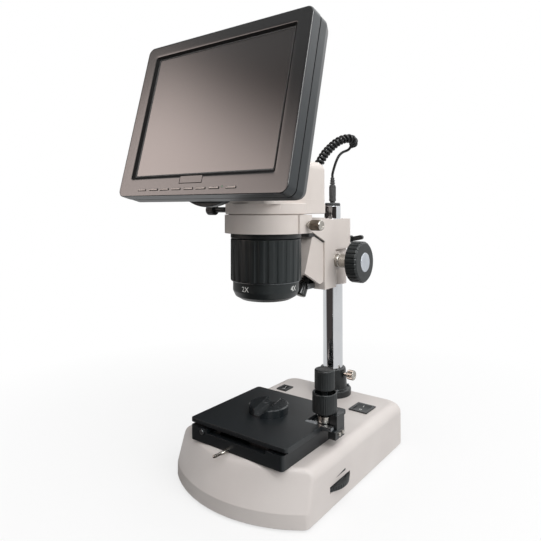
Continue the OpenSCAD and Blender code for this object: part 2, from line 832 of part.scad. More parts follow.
module focus_block() {
    color(cream) difference() {
        union() {
            span_box([-block_hw, block_y0, block_z0], [block_hw, block_y1, block_z1]);
            span_box([-block_hw, block_y1, clamp_z0], [block_hw, pillar_y, block_z1]);
            rod_z(clamp_r, clamp_z0, block_z1, 0, pillar_y);
            rod_z(sleeve_out_r, block_z0, clamp_z0, 0, pillar_y);
            span_box([-12, block_y1, block_z0], [12, pillar_y, clamp_z0]);
            rod_x(boss_r, -block_hw, block_hw, shaft_y, shaft_z);
            span_box([-10, pillar_y, clamp_z0], [10, ear_y1, block_z1 - 3]);
        }
        rod_z(bush_r + fit, block_z0 - 1, block_z1 + 1, 0, pillar_y);
        span_box([-1, pillar_y, clamp_z0 - 1], [1, ear_y1 + 1, block_z1 + 1]);
        translate([0, 0, block_z0 - 1]) linear_extrude(block_z1 - block_z0 + 2)
            dovetail(slide_gap);
        rod_x(shaft_r + 1.6, -block_hw - 1, block_hw + 1, shaft_y, shaft_z);
        rod_x(focus_pr + 2, -slide_hw, slide_hw, shaft_y, shaft_z);
        span_box([-slide_hw - slide_gap, rack_y - rack_m, block_z0 - 1],
                 [slide_hw + slide_gap, rack_y + 1.2, block_z1 + 1]);
        rod_x(lever_r + fit, -11, 11, lever_y, lever_z);
        rod_x(6, 10.5, 30, lever_y, lever_z);
    }
}

lever_r = 2.5;
wing_l = 12.4;

// Clamp screw through the ears, with a wing that points back and up
module lock_lever() {
    color("#1B1D1E") {
        rod_x(lever_r, -9, 12, lever_y, lever_z);
        rod_x(4.6, 11, 17.5, lever_y, lever_z);
        translate([17.5, lever_y, lever_z]) rotate([0, -12, 0]) {
            span_box([-1, -2.2, -2.8], [wing_l, 2.2, 2.8]);
            rod_y(2.8, -2.2, 2.2, wing_l, 0);
        }
    }
}

// Shaft with the focus pinion in the middle
module pinion_shaft() {
    color(steel) {
        rod_x(shaft_r, -knob_x0 - focus_w + 3, -slide_hw + 1, shaft_y, shaft_z);
        rod_x(shaft_r, slide_hw - 1, knob_x0 + focus_w - 3, shaft_y, shaft_z);
        translate([-slide_hw + 1, shaft_y, shaft_z]) rotate([0, 90, 0]) rotate(-90)
            linear_extrude(2 * slide_hw - 2)
                polygon(gear_points(rack_m, focus_teeth, gear_backlash));
    }
}

module focus_knob(s) {
    translate([s * knob_x0, shaft_y, shaft_z]) rotate([0, s * 90, 0]) difference() {
        union() {
            linear_extrude(focus_w - 2) polygon(ribbed(focus_r, 32, 0.9));
            translate([0, 0, focus_w - 2]) cylinder(r1 = focus_r - 0.9,
                                                    r2 = focus_r - 3.4, h = 2);
            cap_face(s);
        }
        translate([0, 0, -1]) cylinder(r = shaft_r, h = focus_w - 2);
    }
}

// Bright round inlay on a focus knob's face
module cap_face(s) {
    color("#B8BCC0") translate([0, 0, focus_w]) cylinder(r1 = 10.8, r2 = 10, h = 0.8);
}

module focus_knob_right() { color("#2A2E30") focus_knob(1); }
module focus_knob_left() { color("#2A2E30") focus_knob(-1); }

// Bushings that carry the shaft in the block's sides
module shaft_bushings() {
    color(steel) for (s = [-1, 1]) difference() {
        union() {
            translate([s * (slide_hw + 1), shaft_y, shaft_z]) rotate([0, s * 90, 0])
                cylinder(r = shaft_r + 1.6, h = block_hw - slide_hw - 1);
            translate([s * block_hw, shaft_y, shaft_z]) rotate([0, s * 90, 0])
                cylinder(r = 8, h = knob_x0 - block_hw - body_gap);
        }
        rod_x(shaft_r + fit, -knob_x0 - 1, knob_x0 + 1, shaft_y, shaft_z);
    }
}

module focus_slide() {
    color("#3B3F41") {
        translate([0, 0, slide_z0]) linear_extrude(slide_z1 - slide_z0) intersection() {
            dovetail(0);
            translate([-slide_hw, web_y1]) square([2 * slide_hw, 40]);
        }
        translate([-slide_hw + 1.5, rack_y, shaft_z]) rotate([0, 90, 0])
            linear_extrude(2 * slide_hw - 3)
                polygon(rack_points(rack_m, half_teeth(focus_travel + 7, rack_m), gear_backlash));
    }
}

// Ring, arm and hollow gusset in one casting
module ring_holder() {
    color(cream) difference() {
        union() {
            rod_z(ring_r, ring_z0, ring_z1, 0, axis_y);
            span_box([ring_r - 14, axis_y - 4, ring_z0], [pad_x, axis_y + 18, ring_z1]);
            translate([0, 0, ring_z0]) linear_extrude(ring_h - 4) polygon([
                [-ring_r + 4, axis_y + 12], [ring_r - 2, axis_y + 12],
                [web_hw, axis_y + ring_r + 2], [web_hw, web_y1], [-web_hw, web_y1],
                [-web_hw, axis_y + ring_r + 2]]);
            gusset(web_hw, [web_nose, [web_y1, web_nose.y], [web_y1, ring_z0 - 12.5]]);
            gusset(gusset_hw, [[3, ring_z0 + 1], gusset_top, gusset_nose, gusset_toe,
                               [web_y1, gusset_toe.y + 2], [web_y1, ring_z0 + 1]]);
        }
        rod_z(neck_r + fit, ring_z0 - 1, ring_z1 + 1, 0, axis_y);
        gusset(gusset_hw - gusset_wall, [
            [11, ring_z0 - 3], [-5, gusset_nose.y + 2], [-3, gusset_toe.y - 1],
            [web_y1 + 1, gusset_toe.y - 6], [web_y1 + 1, ring_z0 - 3]]);
        rod_x(ring_screw_r + fit, neck_r - 2, pad_x + 1, screw_y, screw_z);
    }
}

ring_screw_r = 2.4;

// Plate in the YZ plane, x from -hw to hw
module gusset(hw, points) {
    translate([-hw, 0, 0]) rotate([90, 0, 90]) linear_extrude(2 * hw) polygon(points);
}

module ring_thumbscrew() {
    color(steel) {
        rod_x(ring_screw_r, neck_r + 1, pad_x + 2.5, screw_y, screw_z);
        translate([pad_x + 2.5, screw_y, screw_z]) rotate([0, 90, 0])
            linear_extrude(14) polygon(ribbed(5.3, 24, 0.45));
    }
}

lamp_pin_r = 1.6;

// Bar on the slide's lower end with a pin through the lamp
module lamp_bracket() {
    color("#26292A") {
        for (x = [-9, 7]) span_box([x, lamp_y - 3, lamp_z - 3],
                                   [x + 2, web_y1, lamp_z + 3]);
        span_box([-7, web_y1 - 2, lamp_z - 3], [7, web_y1, lamp_z - 1.4]);
        for (s = [-1, 1]) translate([s * 7, lamp_y, lamp_z]) rotate([0, -s * 90, 0])
            cylinder(r = lamp_pin_r, h = 2.5);
    }
}

// Small spot lamp: finned rear, smooth nose, lens at its mouth
module oblique_lamp() {
    color("#17191A") difference() {
        translate([0, lamp_y, lamp_z]) rotate([-lamp_aim, 0, 0]) union() {
            for (i = [0 : 2]) translate([0, 0, 1.5 + i * 2.3])
                cylinder(r = lamp_r - 0.2, h = 1.4);
            cylinder(r = lamp_r - 1.6, h = 7.5);
            translate([0, 0, -11.5]) cylinder(r = lamp_r, h = 13);
            color("#E8E4D0") translate([0, 0, -12.3]) cylinder(r = 4.5, h = 0.8);
        }
        rod_x(lamp_pin_r + fit, -8, -3, lamp_y, lamp_z);
        rod_x(lamp_pin_r + fit, 3, 8, lamp_y, lamp_z);
    }
}

// ---------- head ----------

// Round-fronted plate outline at the head's foot
module head_plate(z0, z1, inset) {
    translate([0, 0, z0]) linear_extrude(z1 - z0) {
        translate([0, axis_y]) circle(r = ring_r - 0.7 - inset);
        translate([0, (axis_y + head_back) / 2])
            round_rect(2 * (head_hw - inset), head_back - axis_y - 2 * inset, head_round - 2);
    }
}

// Upright body of the head, shrunk by an inset
module head_body(inset, z0) {
    cy = (head_front + head_back) / 2;
    w = 2 * (head_hw - inset);
    d = head_back - head_front - 2 * inset;
    top = head_top - inset;
    translate([0, cy, 0]) hull() {
        round_slab(w, d, head_round, z0, z0 + 1, $fn = 32);
        for (a = [0 : 22.5 : 90]) let (k = head_round * (1 - cos(a)))
            round_slab(w - 2 * k, d - 2 * k, head_round,
                       top - head_round * (1 - sin(a)) - eps,
                       top - head_round * (1 - sin(a)), $fn = 32);
    }
}

module head_housing() {
    color(cream) difference() {
        union() {
            head_body(0, flange_top - eps);
            head_plate(head_z0, flange_top, 0);
            rod_z(neck_r, neck_z0, head_z0, 0, axis_y);
            rod_z(spigot_r, spigot_z0, neck_z0, 0, axis_y);
        }
        head_body(head_wall, flange_top - 1);
        head_plate(head_z0 + head_wall, flange_top, head_wall);
        rod_z(neck_r - 8, neck_z0 + 3, head_z0 + head_wall + 1, 0, axis_y);
        rod_z(spigot_r - 5, spigot_z0 - 1, neck_z0 + 4, 0, axis_y);
        rod_y(3, head_back - head_wall - 1, head_back + 1, gland_x, gland_z);
        rod_x(lock_stem_r + fit, -ring_r, -head_hw + 12, lock_y, lock_z);
    }
}

lock_stem_r = 2.8;
lock_x0 = -sqrt(pow(ring_r - 0.7, 2) - pow(lock_y - axis_y, 2));

module side_lock_knob() {
    color("#1E2021") {
        rod_x(lock_stem_r, lock_x0 - 14, lock_x0 + 7, lock_y, lock_z);
        translate([lock_x0 - 14, lock_y, lock_z]) rotate([0, -90, 0])
            linear_extrude(10) polygon(ribbed(5.6, 20, 0.5));
    }
}

module magnification_drum() {
    color("#262B2C") translate([0, axis_y, 0]) difference() {
        union() {
            rod_z(drum_r - 0.6, drum_z1 - 3, drum_z1, 0, 0);
            translate([0, 0, drum_z0 + 19]) linear_extrude(drum_z1 - drum_z0 - 22)
                polygon(ribbed(drum_r, drum_ribs, 1.1, 6));
            rod_z(drum_r - 2.4, drum_z0 + 9, drum_z0 + 19, 0, 0);
            rotate_extrude() polygon([[0, drum_z0], [drum_r - 11, drum_z0],
                [drum_r - 5, drum_z0 + 3.5], [drum_r - 2.4, drum_z0 + 9],
                [0, drum_z0 + 9]]);
        }
        rod_z(drum_r - 5.5, drum_z0 + 5, drum_z1 - 4, 0, 0);
        rod_z(spigot_r + fit, drum_z1 - 5, drum_z1 + 1, 0, 0);
        for (a = [0 : 90 : 270]) rotate(a)
            rod_z(lens_r - 1.5, drum_z0 - 1, drum_z0 + 6, lens_at, 0);
    }
}

lens_r = 9.5;
lens_at = 15;

// Four lens barrels: a low-power pair and a high-power pair
module objectives() {
    color("#8E9296") translate([0, axis_y, 0]) for (a = [0 : 90 : 270]) rotate(a) {
        difference() {
            rod_z(lens_r, drum_z0 + 5, drum_z1 - 4 - body_gap - 8, lens_at, 0);
            rod_z(lens_r - 1.5, drum_z0 + 8, drum_z1 - 8, lens_at, 0);
        }
    }
}

module camera_module() {
    hw = camera_board_hw;
    color("#2F6B3C") span_box([-hw, axis_y - hw, flange_top + 6],
                              [hw, axis_y + hw, flange_top + 6 + board_t]);
    color("#303436") difference() {
        rod_z(camera_r, neck_z0 + 3, flange_top + 6, 0, axis_y);
        rod_z(camera_r - 3, neck_z0 + 2, flange_top + 4, 0, axis_y);
    }
}

module cord_gland() {
    color("#1B1D1E") {
        rod_y(6, head_back, head_back + 2, gland_x, gland_z);
        rod_y(4.4, head_back + 2, head_back + gland_len, gland_x, gland_z);
        rod_y(3, head_back - head_wall, head_back, gland_x, gland_z);
    }
}

// ---------- monitor ----------

// Places children drawn in the screen's frame: x across, y up the screen, z out of it
module on_screen() {
    translate(screen_c) rotate([90 - lean, 0, 0]) children();
}

module monitor_bezel() {
    color("#34383A") on_screen() difference() {
        union() {
            translate([0, screen_v, 0])
                round_slab(screen_w, screen_h, corner_r, -bezel_d, -1.5);
            translate([0, screen_v, -1.5]) linear_extrude(1.5)
                round_rect(screen_w - 3, screen_h - 3, corner_r - 1.5);
        }
        translate([0, 0, -bezel_d - 1]) linear_extrude(bezel_d + 2)
            square([view_w, view_h], center = true);
        translate([0, 0, -bezel_d - 1]) linear_extrude(bezel_d + 1 - glass_back - 1)
            square([view_w + 8, view_h + 8], center = true);
        translate([0, 0, -1.5]) linear_extrude(2)
            translate(ir_lo) square(ir_hi - ir_lo);
        translate([0, key_v - 1, -bezel_d - 1]) linear_extrude(bezel_d - 3)
            square([screen_w - 30, 6], center = true);
        for (u = key_us) translate([u, key_v, -bezel_d]) linear_extrude(bezel_d + 1)
            square([key_w + 2 * key_gap, key_h + 2 * key_gap], center = true);
    }
}

ir_lo = [-18, -71.2];
ir_hi = [10, -63.7];

// Smoked window for the remote control's receiver, set into the bezel
module ir_window() {
    color("#241F22") on_screen() translate([0, 0, -1.5]) linear_extrude(1.5)
        translate(ir_lo) square(ir_hi - ir_lo);
}

module lcd_panel() {
    color("#1E1C1C") on_screen() {
        translate([0, 0, -glass_back - 1 - 6]) linear_extrude(6)
            square([view_w + 7, view_h + 7], center = true);
    }
}

// Key number i of the row under the screen
module key(i) {
    color("#23272A") on_screen() {
        translate([key_us[i], key_v, -key_deep]) linear_extrude(key_deep + key_out)
            square([key_w, key_h], center = true);
        translate([key_us[i], key_v, -key_deep - 1]) linear_extrude(1)
            square([key_w, key_h + 1.6], center = true);
    }
}

module monitor_back() {
    back_w = screen_w - 8;
    back_h = screen_h - 8;
    color("#3A4246") difference() {
        union() {
            on_screen() translate([0, screen_v, 0]) hull() {
                round_slab(screen_w - 0.6, screen_h - 0.6, corner_r, -bezel_d - 10,
                           -bezel_d, $fn = 32);
                round_slab(screen_w - 5, screen_h - 5, corner_r, -screen_d + 3,
                           -screen_d + 3.1, $fn = 32);
                round_slab(screen_w - 14, screen_h - 14, corner_r, -screen_d,
                           -screen_d + 0.1, $fn = 32);
            }
            span_box([-lug_hw, tilt_y - 20, tilt_z - 6], [lug_hw, tilt_y, tilt_z + 6]);
            rod_x(7, -lug_hw, lug_hw, tilt_y, tilt_z);
            span_box([-20, tilt_y - 24, tilt_z - 24], [14, tilt_y - 16, tilt_z - 6]);
        }
        on_screen() translate([0, screen_v, 0]) linear_cavity(back_w, back_h);
        rod_x(tilt_pin_r + fit, -lug_hw - 1, lug_hw + 1, tilt_y, tilt_z);
    }
}

lug_hw = ear_x - ear_t - body_gap;

module linear_cavity(w, h) {
    round_slab(w, h, corner_r - 2, -screen_d + 3, -bezel_d + 1);
}

// Bracket on the head's front with two ears and the tilt pin
module hinge_bracket() {
    color("#1A1C1D") {
        span_box([-20, head_front - 3.5, tilt_z - 15], [20, head_front, tilt_z + 14]);
        for (s = [-1, 1]) {
            x0 = s > 0 ? ear_x - ear_t : -ear_x;
            span_box([x0, tilt_y, tilt_z - 7], [x0 + ear_t, head_front - 3.5, tilt_z + 7]);
            rod_x(7, x0, x0 + ear_t, tilt_y, tilt_z);
        }
        rod_x(tilt_pin_r, -ear_x - 2, ear_x + 2, tilt_y, tilt_z);
    }
}

// ---------- cord ----------

module curly_cord() { color("#1A1B1C") swept_tube(curl_route, curl_d / 2, 12); }
module cord_lead() { color("#1A1B1C") swept_tube(lead_route, cord_d / 2, 8); }

module cord_plug() {
    color("#1A1B1C") {
        rod_z(nose_r, socket_z1 - 6, cap_z1 + 2.2, 0, pillar_y);
        rod_z(plug_r, cap_z1 + 2.2, plug_z1, 0, pillar_y);
        for (i = [0 : 2]) rod_z(plug_r - 0.9, plug_z1 + 1 + i * 3.2,
                                plug_z1 + 3.2 + i * 3.2, 0, pillar_y);
        rod_z(cord_d / 2 + 0.7, plug_z1, relief_z1, 0, pillar_y);
    }
}

base_housing();
bottom_plate();
rubber_feet();
body_screws();
power_board();
base_led();
light_window();
power_inlet();
switch_frames();
rocker_right();
rocker_left();
dimmer_wheel();
stage_lock_screw();
stage_bed();
stage_saddle();
knob_bracket();
stage_top_plate();
x_rack();
y_knob();
x_knob();
specimen_disc();
pillar_flange();
pillar();
collar_knob();
socket_tube();
socket_cap();
clamp_bush();
focus_block();
lock_lever();
pinion_shaft();
focus_knob_right();
focus_knob_left();
shaft_bushings();
focus_slide();
ring_holder();
ring_thumbscrew();
lamp_bracket();
oblique_lamp();
head_housing();
side_lock_knob();
magnification_drum();
objectives();
camera_module();
cord_gland();
hinge_bracket();
monitor_bezel();
monitor_back();
lcd_panel();
ir_window();
key(0);  // key_1
key(1);  // key_2
key(2);  // key_3
key(3);  // key_4
key(4);  // key_5
key(5);  // key_6
key(6);  // key_7
key(7);  // key_8
curly_cord();
cord_lead();
cord_plug();
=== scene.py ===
"""Digital stereo microscope with a tilting screen: its looks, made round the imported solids.

Sizes are in millimetres and are turned to metres when a mesh is made. +X is right,
+Y back and +Z up, as in the solids. A shape is a Surface: points worked out as whole
arrays, and the faces between them.
"""

from __future__ import annotations

import functools
import json
import logging
import math
from dataclasses import dataclass, field, replace
from enum import Enum
from typing import Callable, Iterable, Sequence

import bmesh
import bpy
import numpy as np
from mathutils import Matrix, Vector

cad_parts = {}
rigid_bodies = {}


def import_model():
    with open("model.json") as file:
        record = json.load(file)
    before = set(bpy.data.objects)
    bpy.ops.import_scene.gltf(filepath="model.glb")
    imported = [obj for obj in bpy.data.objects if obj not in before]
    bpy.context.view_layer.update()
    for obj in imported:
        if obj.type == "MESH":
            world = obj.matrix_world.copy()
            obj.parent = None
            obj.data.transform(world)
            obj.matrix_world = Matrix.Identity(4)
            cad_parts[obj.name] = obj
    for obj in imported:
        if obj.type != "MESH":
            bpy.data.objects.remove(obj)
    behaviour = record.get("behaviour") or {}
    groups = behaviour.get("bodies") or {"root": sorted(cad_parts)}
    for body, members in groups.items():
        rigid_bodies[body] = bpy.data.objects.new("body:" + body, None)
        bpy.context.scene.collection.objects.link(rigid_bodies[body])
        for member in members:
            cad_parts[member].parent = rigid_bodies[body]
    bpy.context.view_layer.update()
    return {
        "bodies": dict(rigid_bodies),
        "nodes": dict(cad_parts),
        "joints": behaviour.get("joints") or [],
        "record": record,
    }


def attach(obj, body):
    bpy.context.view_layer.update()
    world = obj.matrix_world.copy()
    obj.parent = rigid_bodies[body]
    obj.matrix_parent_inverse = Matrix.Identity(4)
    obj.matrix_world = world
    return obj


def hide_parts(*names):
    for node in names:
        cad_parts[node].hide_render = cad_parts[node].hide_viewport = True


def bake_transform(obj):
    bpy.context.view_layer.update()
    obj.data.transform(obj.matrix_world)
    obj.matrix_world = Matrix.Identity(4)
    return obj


LOG = logging.getLogger("microscope")
MM = 0.001
MERGE = 2e-6  # points nearer to one another than this, in metres, become one
SLIVER = 1e-7  # edges shorter than this, in metres, are dropped
SOLID_MERGE = 4e-6  # the same as MERGE for a solid's loose triangles
FLAT = 0.6  # a solid's faces that meet at less than this, in degrees, become one
SHARP = 0.01  # rounding, in millimetres, of an edge that stays sharp
WHITE = (1, 1, 1, 1)

# Axes that several sub-assemblies share, in millimetres.
LENS_Y = -52.0
PILLAR_Y = 84.0
STAGE_KNOBS_XY = (60.7, -38.5)
TILT_YZ = (-104.0, 300.0)

Size = float | np.ndarray  # one size, or one for each row
Line = Sequence[Sequence[float]]  # points, or rows of radius and height
Ribs = Callable[[np.ndarray, np.ndarray], np.ndarray]  # depths at (profile rows, angles)
Pick = Callable[[np.ndarray], np.ndarray]  # which of these face centres

# ---------------------------------------------------------------- surfaces


@dataclass
class Surface:
    """Points in millimetres, four-sided faces between them, and flat end caps."""

    points: np.ndarray
    quads: np.ndarray
    caps: list[list[int]] = field(default_factory=list)

    def __add__(self, other: Surface) -> Surface:
        """Both surfaces as one, the other's face numbers moved up.

        Args:
            other: the other surface.

        Returns:
            The new surface.
        """
        n = len(self.points)
        return Surface(
            np.concatenate([self.points, other.points]),
            np.concatenate([self.quads, other.quads + n]),
            self.caps + [[i + n for i in cap] for cap in other.caps],
        )

    def placed(self, matrix: Matrix) -> Surface:
        """The surface moved by a matrix whose shift is in millimetres."""
        m = np.array(matrix, float)
        return Surface(self.points @ m[:3, :3].T + m[:3, 3], self.quads, self.caps)


def grid_surface(
    grid: np.ndarray,
    around: bool = True,
    closed: bool = False,
    ends: tuple[bool, bool] = (False, False),
) -> Surface:
    """Joins a grid of points to its neighbours.

    Face (r, c) has the corners (r, c), (r, c+1), (r+1, c+1) and (r+1, c), where the last
    column meets the first one if it goes around, and the last row the first if closed.

    Args:
        grid: points of shape (rows, columns, 3).
        around: whether the columns go round and meet.
        closed: whether the rows go round and meet.
        ends: whether the first and the last row get a flat cap.

    Returns:
        The surface.
    """
    rows, cols = grid.shape[:2]
    index = np.arange(rows * cols).reshape(rows, cols)
    down = np.roll(index, -1, axis=0) if closed else index[1:]
    top = index if closed else index[:-1]
    if around:
        right, down_right = np.roll(top, -1, axis=1), np.roll(down, -1, axis=1)
    else:
        top, right, down, down_right = top[:, :-1], top[:, 1:], down[:, :-1], down[:, 1:]
    quads = np.stack([top, right, down_right, down], axis=-1).reshape(-1, 4)
    caps = [index[0].tolist()] * ends[0] + [index[-1].tolist()] * ends[1]
    return Surface(grid.reshape(-1, 3), quads, caps)


def joined(parts: Iterable[Surface]) -> Surface:
    """All the surfaces as one, in their order."""
    return functools.reduce(Surface.__add__, parts)


def eased(points: Line, soft: float, steps: int = 3, closed: bool = False) -> np.ndarray:
    """Rounds the corners of a line.

    At each corner the line leaves its straight run a distance d before the corner and
    comes back d after it, on the curve (1-t)^2 A + 2 t (1-t) P + t^2 B.

    Args:
        points: corners of the line.
        soft: the distance d, cut to 0.45 of the shorter run.
        steps: parts of each curve.
        closed: whether the line comes back to its start.

    Returns:
        The points of the rounded line.
    """
    p = np.asarray(points, float)
    before, after = np.roll(p, 1, axis=0) - p, np.roll(p, -1, axis=0) - p
    lb, la = np.linalg.norm(before, axis=1), np.linalg.norm(after, axis=1)
    d = np.minimum(soft, 0.45 * np.minimum(lb, la))[:, None]
    a = p + before / np.maximum(lb, 1e-9)[:, None] * d
    b = p + after / np.maximum(la, 1e-9)[:, None] * d
    t = np.linspace(0, 1, steps + 1)[None, :, None]
    curve = (1 - t) ** 2 * a[:, None] + 2 * t * (1 - t) * p[:, None] + t**2 * b[:, None]
    if closed:
        return curve.reshape(-1, p.shape[1])
    return np.concatenate([p[:1], curve[1:-1].reshape(-1, p.shape[1]), p[-1:]])


def turned(
    profile: np.ndarray,
    sides: int = 96,
    ribs: Ribs | None = None,
    closed: bool = False,
) -> Surface:
    """Turns a profile about the Z axis.

    Point (i, j) is (r_i cos a_j, r_i sin a_j, z_i) with a_j = 2 pi j / sides, and ribs
    takes a depth off r_i where it says so.

    Args:
        profile: rows of radius and height.
        sides: steps round the axis.
        ribs: gives the depth to take off for (profile rows, angles), as a grid.
        closed: whether the profile comes back to its start.

    Returns:
        The surface of revolution.
    """
    angle = np.linspace(0, 2 * np.pi, sides, endpoint=False)
    radius = np.repeat(profile[:, :1], sides, axis=1)
    if ribs is not None:
        radius = np.maximum(radius - ribs(profile, angle), 0)
    height = np.repeat(profile[:, 1:2], sides, axis=1)
    grid = np.stack([radius * np.cos(angle), radius * np.sin(angle), height], axis=-1)
    return grid_surface(grid, closed=closed)


def grooves(
    count: int, depth: float, low: float, high: float, duty: float = 0.0, steep: float = 3.0,
    fade: float = 0.4,
) -> Ribs:
    """Grooves along the axis of a turned part.

    The depth is depth (1 - tanh(steep (cos(count a) - duty))) / 2 for heights from low
    to high, and fades to nothing past them.

    Args:
        count: grooves round the part.
        depth: their depth in millimetres.
        low: where they start along the axis.
        high: where they end along the axis.
        duty: above 0 the grooves are wider than the lands between them.
        steep: how upright their sides are.
        fade: length past low and high over which they run out.

    Returns:
        The function that turned() calls.
    """

    def depth_at(profile: np.ndarray, angle: np.ndarray) -> np.ndarray:
        """Depth at each of the profile's heights and each angle.

        Args:
            profile: rows of radius and height.
            angle: the angles round the axis.

        Returns:
            The depths as a grid.
        """
        z = profile[:, 1:2]
        share = np.clip((z - low) / fade + 1, 0, 1) * np.clip((high - z) / fade + 1, 0, 1)
        wave = 0.5 - 0.5 * np.tanh(steep * (np.cos(count * angle)[None, :] - duty))
        return depth * share * wave

    return depth_at


def fluted(
    stem: tuple[float, float, float], head: Line, flutes: int, depth: float, band: tuple[float, float],
    steps: int = 8,
) -> Surface:
    """Turned screw: a plain stem, and a head with flutes round it.

    Args:
        stem: its radius, and where it starts and ends along the axis.
        head: the head's profile, rows of radius and place along the axis.
        flutes: how many.
        depth: their depth.
        band: where they start and end along the axis.
        steps: points round the head for each flute.

    Returns:
        Stem and head as one surface.
    """
    radius, low, high = stem
    pin = turned(eased([[0, low], [radius, low], [radius, high], [0, high]], 0.3), 40)
    return pin + turned(eased(head, 0.35), flutes * steps, grooves(flutes, depth, *band, 0, 2.5))


def rounded_rect(
    half_w: Size, half_h: Size, radius: Size, centre: Sequence = (0.0, 0.0), steps: int = 6
) -> np.ndarray:
    """Rectangles with round corners, one for each row of sizes.

    A corner's point is its centre plus radius (cos a, sin a), a going a quarter turn.

    Args:
        half_w: half widths.
        half_h: half heights.
        radius: corner radii.
        centre: the middle, one point or one for each row.
        steps: parts of each corner.

    Returns:
        Points of shape (rows, 4 (steps + 1), 2), counter-clockwise.
    """
    w, h, r = np.broadcast_arrays(*(np.atleast_1d(np.asarray(x, float)) for x in (half_w, half_h, radius)))
    sign = np.array([[1, 1], [-1, 1], [-1, -1], [1, -1]], float)
    angle = (np.arange(4)[:, None] + np.linspace(0, 1, steps + 1)[None, :]) * np.pi / 2
    round_part = np.stack([np.cos(angle), np.sin(angle)], axis=-1)
    corner = np.stack([w - r, h - r], axis=-1)[:, None, None, :] * sign[None, :, None, :]
    ring = corner + r[:, None, None, None] * round_part[None]
    return ring.reshape(len(w), -1, 2) + np.atleast_2d(np.asarray(centre, float))[:, None, :]


def stacked(
    rings: np.ndarray, heights: np.ndarray, ends: tuple[bool, bool] = (True, True), closed: bool = False,
) -> Surface:
    """Outlines carried up a height each: point (r, c) is (x, y of ring r, height r)."""
    z = np.broadcast_to(np.asarray(heights, float)[:, None, None], (*rings.shape[:2], 1))
    return grid_surface(np.concatenate([rings, z], axis=-1), closed=closed, ends=ends)


def box_surface(low: Sequence[float], high: Sequence[float], soft: float = SHARP) -> Surface:
    """Box with rounded edges.

    Its outline is a rounded rectangle inset at the top and bottom by a quarter circle.

    Args:
        low: its lowest corner.
        high: its highest corner.
        soft: radius of its edges.

    Returns:
        The box.
    """
    lo, hi = np.asarray(low, float), np.asarray(high, float)
    r = max(soft, SHARP)
    turn = np.linspace(0, np.pi / 2, 4)
    inset = r * np.concatenate([1 - np.sin(turn), 1 - np.cos(turn)])
    z = np.concatenate([lo[2] + r * (1 - np.cos(turn)), hi[2] - r * (1 - np.sin(turn))])
    half = (hi - lo) / 2
    rings = rounded_rect(half[0] - inset, half[1] - inset, np.full(len(z), r), (lo + hi)[:2] / 2, 3)
    return stacked(rings, z)


def rod(
    radius: float, start: Sequence[float], end: Sequence[float], soft: float = SHARP, sides: int = 48
) -> Surface:
    """Round bar between two points.

    Args:
        radius: its radius.
        start: the middle of one end.
        end: the middle of the other.
        soft: radius of its end edges.
        sides: steps round it.

    Returns:
        The bar.
    """
    a, b = Vector(start), Vector(end)
    line = eased([[0, 0], [radius, 0], [radius, (b - a).length], [0, (b - a).length]], soft)
    return turned(line, sides).placed(along(a, b))


def along(start: Vector, end: Vector) -> Matrix:
    """Matrix that puts the Z axis on the line from start to end."""
    turn = (end - start).to_track_quat("Z", "Y").to_matrix().to_4x4()
    return Matrix.Translation(start) @ turn


def run_along(line: np.ndarray) -> np.ndarray:
    """Distance along a line at each of its points."""
    return np.concatenate([[0], np.cumsum(np.linalg.norm(np.diff(line, axis=0), axis=1))])


def points_at(line: np.ndarray, runs: np.ndarray) -> np.ndarray:
    """Points of a line at some distances along it."""
    far = run_along(line)
    return np.stack([np.interp(runs, far, line[:, k]) for k in range(3)], axis=-1)


def smooth_route(route: Line, step: float) -> np.ndarray:
    """Evenly spaced points on a smooth curve through the route's points.

    Between points i and i+1 the curve is the cubic with the slopes (P(i+1) - P(i-1)) / 2.

    Args:
        route: the points to go through.
        step: about how far apart the new points are.

    Returns:
        The new points.
    """
    p = np.asarray(route, float)
    ends = np.concatenate([[2 * p[0] - p[1]], p, [2 * p[-1] - p[-2]]])
    slope = (ends[2:] - ends[:-2]) / 2
    t = np.linspace(0, 1, 24, endpoint=False)[None, :, None]
    a, b, u, v = p[:-1, None], p[1:, None], slope[:-1, None], slope[1:, None]
    curve = (2 * t**3 - 3 * t**2 + 1) * a + (t**3 - 2 * t**2 + t) * u
    curve = curve + (3 * t**2 - 2 * t**3) * b + (t**3 - t**2) * v
    line = np.concatenate([curve.reshape(-1, 3), p[-1:]])
    far = run_along(line)[-1]
    return points_at(line, np.linspace(0, far, max(int(far / step), 2)))


def unit(v: np.ndarray) -> np.ndarray:
    """Vectors of length one along the last axis."""
    return v / np.maximum(np.linalg.norm(v, axis=-1, keepdims=True), 1e-12)


def tube(line: np.ndarray, radius: float | np.ndarray, side: np.ndarray, sides: int = 10) -> Surface:
    """Round tube along a line.

    Ring i is line_i + radius (cos a  s_i + sin a  u_i), where s_i is the given side made
    square to the line's direction and u_i is square to both.

    Args:
        line: points down the middle.
        radius: one radius, or one for each point.
        side: a direction across the line, one or one for each point.
        sides: steps round the tube.

    Returns:
        The tube with flat ends.
    """
    direction = unit(np.gradient(line, axis=0))
    side = np.broadcast_to(side, line.shape)
    s = unit(side - (side * direction).sum(-1, keepdims=True) * direction)
    u = np.cross(direction, s)
    a = np.linspace(0, 2 * np.pi, sides, endpoint=False)[None, :, None]
    r = np.broadcast_to(np.asarray(radius, float).reshape(-1, 1, 1), (len(line), 1, 1))
    ring = line[:, None] + r * (np.cos(a) * s[:, None] + np.sin(a) * u[:, None])
    return grid_surface(ring, ends=(True, True))


# ---------------------------------------------------------------- finishes


def linear(code: str) -> tuple[float, float, float, float]:
    """Turns an sRGB colour to a linear one: c / 12.92, or ((c + 0.055) / 1.055) ** 2.4.

    Args:
        code: the colour as a hex code.

    Returns:
        Red, green, blue and 1.
    """
    c = np.array([int(code[i : i + 2], 16) for i in (1, 3, 5)]) / 255
    value = np.where(c <= 0.04045, c / 12.92, ((c + 0.055) / 1.055) ** 2.4)
    return (*(float(x) for x in value), 1.0)


